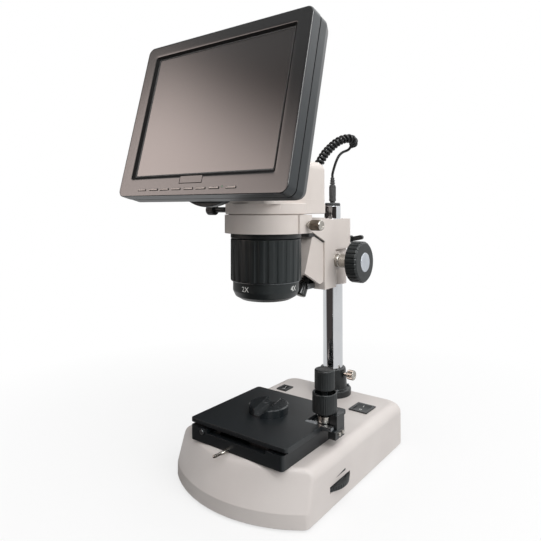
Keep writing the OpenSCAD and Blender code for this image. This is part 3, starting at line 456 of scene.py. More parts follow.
def emptied(owner: bpy.types.Material | bpy.types.World) -> bpy.types.NodeTree:
    """Turns on the nodes of a material or world.

    Args:
        owner: the material or world.

    Returns:
        Its node tree with nothing in it.
    """
    owner.use_nodes = True
    owner.node_tree.nodes.clear()
    return owner.node_tree


def add_node(
    tree: bpy.types.NodeTree, kind: str, settings: dict | None = None, inputs: dict | None = None,
) -> bpy.types.Node:
    """Adds a node with its settings, and sets or links its inputs.

    Args:
        tree: the node tree.
        kind: the node's type.
        settings: values of its properties.
        inputs: value or output socket for each input's name or number.

    Returns:
        The node.
    """
    node = tree.nodes.new(kind)
    for key, value in (settings or {}).items():
        setattr(node, key, value)
    for key, value in (inputs or {}).items():
        if isinstance(value, bpy.types.NodeSocket):
            tree.links.new(value, node.inputs[key])
        else:
            node.inputs[key].default_value = value
    return node


class Grain(Enum):
    """How the fine pattern of a finish lies."""

    PEBBLED = "even in all directions"
    BRUSHED_Z = "drawn out along Z"
    RINGS_X = "rings about the X axis"


STRETCH = {
    Grain.PEBBLED: (1.0, 1.0, 1.0),
    Grain.BRUSHED_Z: (1.0, 1.0, 0.04),
}
RING_STEP = 0.314159  # a ring pattern of scale 1 repeats every 314 mm
MIX_FACTOR, MIX_A, MIX_B, MIX_RESULT = 0, 6, 7, 2  # the colour mix's sockets, whose names repeat


@dataclass(frozen=True)
class Finish:
    """A material made by one process.

    Lengths are in millimetres: grain is the fine pattern's size, patch that of the slow
    change in colour, relief the depth of the bump.
    """

    name: str
    colour: str
    shade: str
    roughness: float
    spread: float = 0.06
    metallic: float = 0.0
    grain: float = 0.5
    relief: float = 0.01
    strength: float = 0.25
    patch: float = 30.0
    pattern: Grain = Grain.PEBBLED
    centre: tuple[float, float, float] = (0.0, 0.0, 0.0)
    coat: float = 0.0
    coat_roughness: float = 0.08
    specular: float = 0.5
    transmission: float = 0.0

    def material(self) -> bpy.types.Material:
        """Makes the material, or gives the one already made.

        A slow noise and a quarter of the fine pattern mix colour and shade; the fine pattern
        alone drives the roughness and the bump.

        Returns:
            The material.
        """
        made = bpy.data.materials.get(self.name)
        if made is not None:
            return made
        made = bpy.data.materials.new(self.name)
        tree = emptied(made)
        place = add_node(tree, "ShaderNodeTexCoord").outputs["Object"]
        fine = self.fine(tree, place)
        slow = add_node(
            tree,
            "ShaderNodeTexNoise",
            inputs={"Vector": place, "Scale": 1000 / self.patch, "Detail": 3.0, "Roughness": 0.55},
        ).outputs["Fac"]
        soft = add_node(
            tree, "ShaderNodeMapRange", inputs={"Value": slow, "From Min": 0.32, "From Max": 0.68}
        ).outputs[0]
        speck = add_node(
            tree, "ShaderNodeMath", {"operation": "MULTIPLY_ADD"}, {0: fine, 1: 0.25, 2: soft}
        ).outputs[0]
        tone = add_node(
            tree,
            "ShaderNodeMix",
            {"data_type": "RGBA"},
            {MIX_FACTOR: speck, MIX_A: linear(self.colour), MIX_B: linear(self.shade)},
        ).outputs[MIX_RESULT]
        low, high = self.roughness - self.spread, self.roughness + self.spread
        rough = add_node(
            tree,
            "ShaderNodeMapRange",
            inputs={"Value": fine, "From Min": 0.25, "From Max": 0.75, "To Min": low, "To Max": high},
        ).outputs[0]
        bump = add_node(
            tree,
            "ShaderNodeBump",
            inputs={"Strength": self.strength, "Distance": self.relief * MM, "Height": fine},
        ).outputs[0]
        inputs = {
            "Metallic": self.metallic,
            "Coat Weight": self.coat,
            "Coat Roughness": self.coat_roughness,
            "Specular IOR Level": self.specular,
            "Transmission Weight": self.transmission,
            "Base Color": tone,
            "Roughness": rough,
            "Normal": bump,
        }
        shader = add_node(tree, "ShaderNodeBsdfPrincipled", inputs=inputs)
        add_node(tree, "ShaderNodeOutputMaterial", inputs={"Surface": shader.outputs[0]})
        return made

    def fine(self, tree: bpy.types.NodeTree, place: bpy.types.NodeSocket) -> bpy.types.NodeSocket:
        """The fine pattern: noise, drawn out noise, or rings about an axis.

        Args:
            tree: the material's node tree.
            place: the socket that gives the place on the piece.

        Returns:
            The socket that gives the pattern's height.
        """
        if self.pattern in STRETCH:
            drawn = add_node(
                tree, "ShaderNodeMapping", inputs={"Vector": place, "Scale": STRETCH[self.pattern]}
            ).outputs[0]
            return add_node(
                tree,
                "ShaderNodeTexNoise",
                inputs={"Vector": drawn, "Scale": 1000 / self.grain, "Detail": 2.0},
            ).outputs["Fac"]
        centred = add_node(
            tree,
            "ShaderNodeMapping",
            inputs={"Vector": place, "Location": tuple(-c * MM for c in self.centre)},
        ).outputs[0]
        return add_node(
            tree,
            "ShaderNodeTexWave",
            {"wave_type": "RINGS", "rings_direction": self.pattern.name[-1]},
            {
                "Vector": centred,
                "Scale": RING_STEP / (self.grain * MM),
                "Distortion": 0.6,
                "Detail": 2.0,
                "Detail Scale": 3.0,
            },
        ).outputs["Fac"]


# Polyester powder paint over an aluminium casting: warm cream, satin, faint orange peel.
CREAM = Finish(
    "powder_paint_cream", "#DDD5CF", "#D5CCC6", 0.44, 0.05, grain=0.9, relief=0.04, strength=0.12, patch=60,
    specular=0.35,
)
# The same paint over the base's pressed sheet: a little greyer and flatter.
CREAM_BASE = Finish(
    "powder_paint_base", "#DCD6D2", "#D4CDC9", 0.46, 0.05, grain=1.0, relief=0.04, strength=0.12, patch=80,
)
# Black anodised and bead-blasted aluminium: green-grey sheen on flat tops.
ANODISED = Finish(
    "anodised_black", "#181E21", "#15191C", 0.40, 0.05, grain=0.4, relief=0.015, strength=0.2, patch=35,
    specular=0.4,
)
# Wrinkle-free black paint on iron castings: deeper black with a soft shine.
BLACK_PAINT = Finish(
    "black_paint", "#16191A", "#1D2021", 0.33, 0.06, grain=1.0, relief=0.03, strength=0.2, patch=25,
    specular=0.4,
)
# Moulded phenolic knobs: black, slightly chalky on the ribs.
PHENOLIC = Finish(
    "phenolic_black", "#15191A", "#1D2122", 0.42, 0.06, grain=0.7, relief=0.03, strength=0.3, patch=12,
    specular=0.4,
)
# Black rubbery lacquer of the turret: green-grey where light grazes it.
TURRET = Finish(
    "turret_black", "#161B1C", "#1D2324", 0.37, 0.05, grain=0.9, relief=0.02, strength=0.2, patch=40,
    specular=0.4,
)
# Glossy moulded ABS of the screen's front.
BEZEL = Finish(
    "abs_gloss_charcoal", "#191B1D", "#1C1F20", 0.24, 0.01, grain=0.3, relief=0.004, strength=0.05,
    patch=60, coat=0.35, coat_roughness=0.18,
)
# Spark-eroded matt ABS of the screen's back.
SHELL = Finish(
    "abs_matt_slate", "#1F2427", "#24292C", 0.40, 0.03, grain=0.4, strength=0.1, patch=50, specular=0.4,
)
# Hard chrome on a ground steel tube: mirror with faint lengthwise grinding.
CHROME = Finish(
    "hard_chrome", "#D6D8DA", "#CACCCF", 0.07, 0.02, 1.0, grain=0.6, strength=0.05, patch=50,
    pattern=Grain.BRUSHED_Z,
)
# Nickel-plated turned steel of screws and small knobs.
NICKEL = Finish("nickel_plate", "#B9B6B0", "#A29E97", 0.24, 0.06, 1.0, strength=0.15, patch=8)
# Matt black that paints shade: on the picture opening's walls, along the seam between bezel and back, on the
# keys' lower and right-hand edges, and round the receiver window.
PAINTED_SHADE = Finish("matt_black_recess", "#0C0C0C", "#101010", 0.75, 0.04, strength=0.1, patch=20, specular=0.1)
# Black gloss anodise of the spot lamp.
LAMP_BODY = Finish("gloss_black_anodise", "#1A1C1D", "#232526", 0.20, 0.03, grain=0.4, strength=0.1, patch=6)
# Moulded keys of the screen: warm grey.
KEYS = Finish("abs_keys", "#A79D97", "#9C928C", 0.30, 0.02, grain=0.3, relief=0.004, strength=0.05, patch=6)
# Polished bakelite of the specimen disc.
BAKELITE = Finish("polished_bakelite", "#22272A", "#1B2023", 0.22, 0.03, grain=0.8, strength=0.1, patch=14)
# Duller, browner nickel over the thumb screw's fluted band.
DULL_NICKEL = Finish("dull_nickel", "#8A8378", "#6C665C", 0.32, 0.06, 1.0, strength=0.15, patch=5)
# Spun aluminium inlay of the focus knobs, satin and a little blue.
INLAY = Finish("spun_aluminium", "#C3C8CE", "#B6BBC2", 0.40, 0.05, 0.6, strength=0.1, patch=9)
# Plain machined steel: racks, shafts and screws.
STEEL = Finish("machined_steel", "#8F9396", "#7C8083", 0.34, 0.08, 1.0, grain=0.4, strength=0.2, patch=10)
# Sintered bronze of the pillar's bush: dull gold.
BRONZE = Finish("sintered_bronze", "#A88752", "#8C6E3E", 0.42, 0.08, 1.0, relief=0.02, patch=9)
# Rubber of feet and cord parts.
RUBBER = Finish("rubber_black", "#1A1B1C", "#222425", 0.55, 0.08, relief=0.03, strength=0.4, patch=8)
# Polyurethane jacket of the curly cord: shiny black.
JACKET = Finish(
    "cord_jacket", "#101112", "#17191A", 0.36, 0.05, grain=0.9, relief=0.02, strength=0.2, patch=6,
    specular=0.3,
)
# Anti-glare LCD: brown-black with a soft, wide shine.
LCD = Finish(
    "lcd_anti_glare", "#131111", "#151313", 0.26, 0.01, grain=0.3, relief=0.002, strength=0.05, patch=120,
    coat=1.0, coat_roughness=0.18,
)
# Smoked acrylic over the receiver.
SMOKED = Finish(
    "smoked_acrylic", "#191A1B", "#1B1C1C", 0.24, 0.01, grain=0.4, relief=0.004, strength=0.05, patch=10,
    coat=0.35, coat_roughness=0.18,
)
# Opal glass over the lamp in the base.
OPAL = Finish("opal_glass", "#E4EAE8", "#DAE2E0", 0.22, 0.03, grain=1.0, patch=20, transmission=0.35)
# Coated lens glass: dark with a violet-green bloom.
LENS = Finish(
    "coated_lens", "#20263A", "#2A3040", 0.05, 0.01, grain=2.0, relief=0.002, patch=14, coat=1.0,
    coat_roughness=0.02,
)
# Polycarbonate lens of the spot lamp.
LAMP_LENS = Finish(
    "lamp_lens", "#6A675C", "#5C5A50", 0.12, 0.02, grain=0.8, relief=0.02, patch=5, transmission=0.3,
)
# Glass-fibre board with green mask.
BOARD = Finish("circuit_board", "#2C5E3A", "#264F32", 0.38, 0.06, grain=0.6, relief=0.03, patch=12)
# Black nylon of switches, inlet and gland.
NYLON = Finish("nylon_black", "#1C1E1F", "#26292A", 0.40, 0.07, relief=0.03, strength=0.3, patch=7)
# Zinc-plated sheet of the bottom plate.
ZINC = Finish("zinc_plate", "#8B8F91", "#7D8183", 0.42, 0.08, 1.0, grain=1.2, relief=0.02, patch=25)
# Screen-printed ink for marks: white on black, dark on cream.
INK_WHITE = Finish("printed_white", "#EDEDEA", "#E2E2DE", 0.5, 0.04, grain=0.4, relief=0.005, patch=4)
INK_DARK = Finish("printed_dark", "#26282A", "#2E3032", 0.5, 0.04, grain=0.4, relief=0.005, patch=4)
# Small indicator lens, unlit green.
INDICATOR = Finish("indicator_green", "#5C7A62", "#4F6C55", 0.2, 0.02, patch=3)


# ---------------------------------------------------------------- pieces


def new_object(name: str, mesh: bpy.types.Mesh) -> bpy.types.Object:
    """Puts a mesh into the scene.

    Args:
        name: the object's name.
        mesh: its mesh.

    Returns:
        The object, at the origin.
    """
    made = bpy.data.objects.new(name, mesh)
    bpy.context.scene.collection.objects.link(made)
    return made


def mended(mesh: bpy.types.Mesh, slivers: bool = True) -> bpy.types.Mesh:
    """Merges doubles, drops slivers, and then points all faces outward.

    Args:
        mesh: the mesh, changed in place.
        slivers: whether to look for slivers.

    Returns:
        The same mesh.
    """
    work = bmesh.new()
    work.from_mesh(mesh)
    bmesh.ops.remove_doubles(work, verts=work.verts, dist=MERGE)
    if slivers:
        bmesh.ops.dissolve_degenerate(work, edges=work.edges, dist=SLIVER)
    bmesh.ops.recalc_face_normals(work, faces=work.faces)
    work.to_mesh(mesh)
    work.free()
    return mesh


def mesh_of(name: str, surface: Surface) -> bpy.types.Mesh:
    """Makes a mesh of a surface.

    Args:
        name: the mesh's name.
        surface: its points and faces.

    Returns:
        The mesh in metres, its faces outward.
    """
    mesh = bpy.data.meshes.new(name)
    mesh.from_pydata((surface.points * MM).tolist(), [], surface.quads.tolist() + surface.caps)
    return mended(mesh)


def freeze(piece: bpy.types.Object) -> None:
    """Applies every modifier on a piece.

    Args:
        piece: the piece, whose mesh is changed for the result.
    """
    graph = bpy.context.evaluated_depsgraph_get()
    mesh = bpy.data.meshes.new_from_object(piece.evaluated_get(graph))
    piece.modifiers.clear()
    piece.data = mesh


def shade(piece: bpy.types.Object, angle: float, weighted: bool = True) -> None:
    """Shades a piece smoothly, with its sharp edges left sharp.

    Weighted normals follow the large faces, so that flats stay flat between rounded edges.

    Args:
        piece: the piece.
        angle: edges sharper than this, in degrees, stay sharp.
        weighted: whether to weight the normals.
    """
    mesh = piece.data
    mesh.polygons.foreach_set("use_smooth", np.ones(len(mesh.polygons), bool))
    mesh.set_sharp_from_angle(angle=math.radians(angle))
    if weighted:
        change = piece.modifiers.new("flats", "WEIGHTED_NORMAL")
        change.mode, change.weight, change.keep_sharp = "FACE_AREA", 50, True
        freeze(piece)


def cut(piece: bpy.types.Object, tools: Surface) -> None:
    """Takes closed surfaces away from a piece.

    Args:
        piece: the piece.
        tools: the surfaces.
    """
    tool = new_object(piece.name + "_cutter", mesh_of(piece.name + "_cutter", tools))
    change = piece.modifiers.new("cut", "BOOLEAN")
    change.operation, change.solver, change.object = "DIFFERENCE", "EXACT", tool
    change.use_self = True
    freeze(piece)
    bpy.data.objects.remove(tool)


def bevel(piece: bpy.types.Object, width: float, segments: int = 2, angle: float = 32.0) -> None:
    """Rounds a piece's sharp edges.

    Args:
        piece: the piece.
        width: the rounding's width in millimetres.
        segments: steps across it.
        angle: edges sharper than this, in degrees, are rounded.
    """
    change = piece.modifiers.new("edge", "BEVEL")
    change.width, change.segments = width * MM, segments
    change.limit_method, change.angle_limit = "ANGLE", math.radians(angle)
    change.use_clamp_overlap = True
    change.harden_normals = False
    freeze(piece)


def two_tone(piece: bpy.types.Object, second: Finish, pick: Pick) -> None:
    """Gives some of a piece's faces another finish.

    Args:
        piece: the piece.
        second: the other finish.
        pick: says which face centres, in millimetres, get it.
    """
    mesh = piece.data
    mesh.materials.append(second.material())
    centres = np.zeros(len(mesh.polygons) * 3)
    mesh.polygons.foreach_get("center", centres)
    slots = np.zeros(len(mesh.polygons), np.int32)
    mesh.polygons.foreach_get("material_index", slots)
    slots[pick(centres.reshape(-1, 3) / MM)] = len(mesh.materials) - 1
    mesh.polygons.foreach_set("material_index", slots)


@dataclass
class Assembly:
    """One sub-assembly: makes its pieces and dresses its carried-over solids."""

    frame: dict

    def add(
        self,
        name: str,
        surface: Surface,
        finish: Finish,
        body: str,
        slot: str,
        stands_for: Sequence[str] = (),
        angle: float = 34.0,
        cutters: Surface | None = None,
        edge: float = 0.0,
    ) -> bpy.types.Object:
        """Makes a piece from a surface.

        Args:
            name: the piece's name.
            surface: its shape.
            finish: its finish.
            body: the body that it rides on.
            slot: not used.
            stands_for: solids that it replaces.
            angle: edges sharper than this stay sharp in the shading.
            cutters: closed surfaces to take away.
            edge: width to round sharp edges by after cutting.

        Returns:
            The piece.
        """
        piece = new_object(name, mesh_of(name, surface))
        if cutters is not None:
            cut(piece, cutters)
        if edge:
            bevel(piece, edge)
        return self.dress(piece, finish, body, slot, stands_for, angle)

    def dress(
        self, piece: bpy.types.Object, finish: Finish, body: str, slot: str,
        stands_for: Sequence[str] = (), angle: float = 34.0,
    ) -> bpy.types.Object:
        """Gives a piece its finish, shading and body, and hides the solids that it replaces.

        Args:
            piece: the piece.
            finish: its finish.
            body: the body that it rides on, or nothing to leave it unattached.
            slot: not used.
            stands_for: solids that it replaces.
            angle: edges sharper than this, in degrees, stay sharp in the shading.

        Returns:
            The piece.
        """
        piece.data.materials.clear()
        piece.data.materials.append(finish.material())
        shade(piece, angle, bool(body))
        if body:
            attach(piece, body)
        if stands_for:
            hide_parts(*stands_for)
        LOG.info("%s: %d faces on %s", piece.name, len(piece.data.polygons), body)
        return piece

    def soften(
        self, node: str, finish: Finish, body: str, slot: str, width: float = 0.5,
        second: Finish | None = None, pick: Pick | None = None,
    ) -> bpy.types.Object:
        """A carried-over solid's copy with merged faces and rounded edges.

        Args:
            node: the solid.
            finish: its finish.
            body: the body that it rides on.
            slot: not used.
            width: the rounding's width.
            second: a second finish.
            pick: says which face centres, in millimetres, get the second finish.

        Returns:
            The piece.
        """
        mesh = self.frame["nodes"][node].data.copy()
        work = bmesh.new()
        work.from_mesh(mesh)
        bmesh.ops.remove_doubles(work, verts=work.verts, dist=SOLID_MERGE)
        bmesh.ops.dissolve_limit(
            work, angle_limit=math.radians(FLAT), verts=work.verts, edges=work.edges
        )
        work.to_mesh(mesh)
        work.free()
        piece = new_object(node + "_finished", mesh)
        bevel(piece, width)
        self.dress(piece, finish, body, slot, (node,))
        if second is not None and pick is not None:
            two_tone(piece, second, pick)
        return piece


@dataclass
class Studio:
    """Camera, floor, lamps, backdrop, and the cards that only mirrors see."""

    eye: tuple[float, float, float] = (314.83, -467.47, 275.80)
    azimuth: float = 36.65
    elevation: float = -0.73
    roll: float = -0.06
    lens: float = 33.97
    sensor: float = 36.0
    shift: float = -0.1279
    middle: tuple[float, float, float] = (0.0, -20.0, 200.0)
    fill: float = 0.26
    floor_half: float = 6000.0
    floor_z: float = -0.15
    # The floor's share of plain white grows from the first of whites at the first distance.
    fade: tuple[float, float] = (120.0, 550.0)
    whites: tuple[float, float] = (0.72, 1.0)
    # Its paper's colour, and the darker one that light bounced off it takes.
    paper: tuple[float, float] = (0.86, 0.48)
    # Mirrors see cloth in this direction, its share growing with the cosine to it.
    cloth_way: tuple[float, float, float] = (-0.174, -0.985, 0.0)
    cloth_cosines: tuple[float, float] = (0.6, 0.78)
    cloth_shares: tuple[float, float] = (0.1, 0.97)
    cloth_colour: tuple[float, float, float, float] = (0.045, 0.035, 0.032, 1)
    # Name, azimuth, height, distance, size and watts.
    lamps: tuple = (
        ("key", 76, 34, 1500, (1200, 1100), 17.5),
        ("side", -55, 38, 1500, (1100, 1000), 1.2),
        ("top", 10, 74, 1400, (1000, 900), 8.0),
        ("back", 160, 38, 1600, (1200, 900), 5.0),
    )
    # Name, arc, distance, foot and top, light at foot and top, heights of the fade, colour, slant.
    cards: tuple = (
        ("dark_cloth", (214, 448), 1250, (-20, 2600), (0.04, 0.03), (200, 600), "#FFEDE6", 0.0),
        ("warm_card", (302, 342), 1150, (330, 1600), (4.5, 0.08), (480, 990), "#FFEDE6", 0.33),
        ("rim_card", (30, 56), 1150, (620, 1700), (12.0, 12.0), (200, 600), "#FFFFFF", 0.0),
    )

    def camera(self) -> None:
        """The camera at the eye, level but for a slight roll."""
        a, e = math.radians(self.azimuth), math.radians(self.elevation)
        ahead = Vector((-math.sin(a) * math.cos(e), math.cos(a) * math.cos(e), -math.sin(e)))
        data = bpy.data.cameras.new("camera")
        data.lens, data.sensor_width, data.shift_y = self.lens, self.sensor, self.shift
        data.clip_start, data.clip_end = 0.01, 50.0
        camera = bpy.data.objects.new("camera", data)
        turn = ahead.to_track_quat("-Z", "Y").to_matrix() @ Matrix.Rotation(math.radians(self.roll), 3, "Z")
        camera.matrix_world = Matrix.Translation(Vector(self.eye) * MM) @ turn.to_4x4()
        bpy.context.scene.collection.objects.link(camera)
        bpy.context.scene.camera = camera

    @staticmethod
    def seen(tree: bpy.types.NodeTree, path: bpy.types.Node) -> bpy.types.NodeSocket:
        """Tells the rays that show a thing from those that light one.

        Args:
            tree: the node tree.
            path: its Light Path node.

        Returns:
            A socket with 1 for rays of the camera, mirrors and glass, and 0 for the rest.
        """
        share = path.outputs["Is Camera Ray"]
        for kind in ("Glossy", "Transmission"):
            ray = path.outputs[f"Is {kind} Ray"]
            share = add_node(tree, "ShaderNodeMath", {"operation": "MAXIMUM"}, {0: share, 1: ray}).outputs[0]
        return share

    def world(self) -> None:
        """White for the camera, mirrors and glass; a softer fill for the rest."""
        world = bpy.data.worlds.new("studio")
        bpy.context.scene.world = world
        tree = emptied(world)
        seen = self.seen(tree, add_node(tree, "ShaderNodeLightPath"))
        power = add_node(tree, "ShaderNodeMapRange", inputs={"Value": seen, "To Min": self.fill}).outputs[0]
        light = add_node(tree, "ShaderNodeBackground", inputs={"Color": WHITE, "Strength": power})
        add_node(tree, "ShaderNodeOutputWorld", inputs={"Surface": light.outputs[0]})

    def floor(self) -> None:
        """A pale floor that fades into the white backdrop; mirrors see dark cloth in front.

        Its points are a grid of 9 by 9 at one height.
        """
        run = np.linspace(-self.floor_half, self.floor_half, 9)
        grid = np.stack(np.meshgrid(run, run, [self.floor_z], indexing="ij"), axis=-1)[:, :, 0]
        piece = new_object("floor", mesh_of("floor", grid_surface(grid, around=False)))
        if piece.data.polygons[0].normal.z < 0:
            piece.data.flip_normals()
        made = bpy.data.materials.new("pale_floor")
        tree = emptied(made)
        path = add_node(tree, "ShaderNodeLightPath")
        place = add_node(tree, "ShaderNodeTexCoord").outputs["Object"]
        far = add_node(tree, "ShaderNodeVectorMath", {"operation": "LENGTH"}, {0: place}).outputs["Value"]
        near, end = self.fade
        fade = {"Value": far, "From Min": near * MM, "From Max": end * MM, "To Min": self.whites[0]}
        white = add_node(tree, "ShaderNodeMapRange", inputs=fade | {"To Max": self.whites[1]}).outputs[0]
        share = add_node(
            tree, "ShaderNodeMath", {"operation": "MULTIPLY"}, {0: white, 1: self.seen(tree, path)}
        ).outputs[0]
        bounce = {"Value": path.outputs["Is Diffuse Ray"], "To Min": self.paper[0], "To Max": self.paper[1]}
        colour = add_node(tree, "ShaderNodeMapRange", inputs=bounce).outputs[0]
        paper = add_node(tree, "ShaderNodeBsdfDiffuse", inputs={"Color": colour}).outputs[0]
        glow = add_node(tree, "ShaderNodeEmission", inputs={"Color": WHITE, "Strength": 1.0}).outputs[0]
        both = add_node(tree, "ShaderNodeMixShader", inputs={0: share, 1: paper, 2: glow}).outputs[0]
        away = add_node(
            tree, "ShaderNodeVectorMath", {"operation": "NORMALIZE"}, {0: place},
        ).outputs["Vector"]
        front = add_node(
            tree, "ShaderNodeVectorMath", {"operation": "DOT_PRODUCT"}, {0: away, 1: self.cloth_way}
        ).outputs["Value"]
        (least, most), (none, full) = self.cloth_cosines, self.cloth_shares
        turn = {"Value": front, "From Min": least, "From Max": most, "To Min": none, "To Max": full}
        side = add_node(tree, "ShaderNodeMapRange", inputs=turn).outputs[0]
        hide = add_node(
            tree, "ShaderNodeMath", {"operation": "MULTIPLY"}, {0: side, 1: path.outputs["Is Glossy Ray"]}
        ).outputs[0]
        cloth = add_node(tree, "ShaderNodeEmission", inputs={"Color": self.cloth_colour}).outputs[0]
        both = add_node(tree, "ShaderNodeMixShader", inputs={0: hide, 1: both, 2: cloth}).outputs[0]
        add_node(tree, "ShaderNodeOutputMaterial", inputs={"Surface": both})
        piece.data.materials.append(made)

    def lamp(
        self, name: str, azimuth: float, height: float, far: float, size: tuple[float, float], power: float
    ) -> None:
        """A soft lamp that faces the object's middle.

        Args:
            name: the lamp's name.
            azimuth: 0 is in front, 90 to the right, in degrees.
            height: above the horizon, in degrees.
            far: distance in millimetres.
            size: width and height in millimetres.
            power: in watts.
        """
        a, e = math.radians(azimuth), math.radians(height)
        out = Vector((math.sin(a) * math.cos(e), -math.cos(a) * math.cos(e), math.sin(e)))
        data = bpy.data.lights.new(name, "AREA")
        data.shape, data.size, data.size_y, data.energy = "RECTANGLE", size[0] * MM, size[1] * MM, power
        lamp = bpy.data.objects.new(name, data)
        lamp.location = (Vector(self.middle) + out * far) * MM
        lamp.rotation_mode = "QUATERNION"
        lamp.rotation_quaternion = (-out).to_track_quat("-Z", "Y")
        bpy.context.scene.collection.objects.link(lamp)

    def card(
        self, name: str, arc: tuple[float, float], far: float, rise: tuple[float, float],
        glow: tuple[float, float], fade: tuple[float, float], colour: str, slant: float,
    ) -> None:
        """A card on an arc round the object that only mirrors see.

        Point (i, j) is far (sin a_j, -cos a_j) at height z_i. The light goes from glow[0] to
        glow[1] as z + slant x goes from the one fade height to the other, along 3 t^2 - 2 t^3.

        Args:
            name: the card's name.
            arc: where it starts and ends, 0 in front and 90 to the right, in degrees.
            far: its distance in millimetres.
            rise: heights of its foot and top in millimetres.
            glow: its light at the foot and at the top.
            fade: heights in millimetres between which the light changes.
            colour: its colour.
            slant: how far the fade drops for each millimetre to the right.
        """
        a = np.radians(np.linspace(*arc, 49))
        z = np.array(rise)[:, None]
        grid = np.stack(np.broadcast_arrays(far * np.sin(a)[None], -far * np.cos(a)[None], z), axis=-1)
        piece = new_object(name, mesh_of(name, grid_surface(grid, around=False)))
        for ray in ("camera", "diffuse", "transmission", "shadow", "volume_scatter"):
            setattr(piece, "visible_" + ray, False)
        made = bpy.data.materials.new(name)
        tree = emptied(made)
        place = add_node(tree, "ShaderNodeTexCoord").outputs["Object"]
        height = add_node(
            tree, "ShaderNodeVectorMath", {"operation": "DOT_PRODUCT"}, {0: place, 1: (slant, 0.0, 1.0)}
        ).outputs["Value"]
        start, end = fade
        change = {"Value": height, "From Min": start * MM, "From Max": end * MM}
        power = add_node(
            tree, "ShaderNodeMapRange", {"interpolation_type": "SMOOTHSTEP"},
            change | {"To Min": glow[0], "To Max": glow[1]},
        ).outputs[0]
        light = add_node(
            tree, "ShaderNodeEmission", inputs={"Color": linear(colour), "Strength": power}
        ).outputs[0]
        add_node(tree, "ShaderNodeOutputMaterial", inputs={"Surface": light})
        piece.data.materials.append(made)

    def make(self) -> None:
        """Sets the whole studio up."""
        bpy.context.scene.view_settings.view_transform = "Standard"
        self.camera()
        self.world()
        self.floor()
        for row in self.lamps:
            self.lamp(*row)
        for row in self.cards:
            self.card(*row)


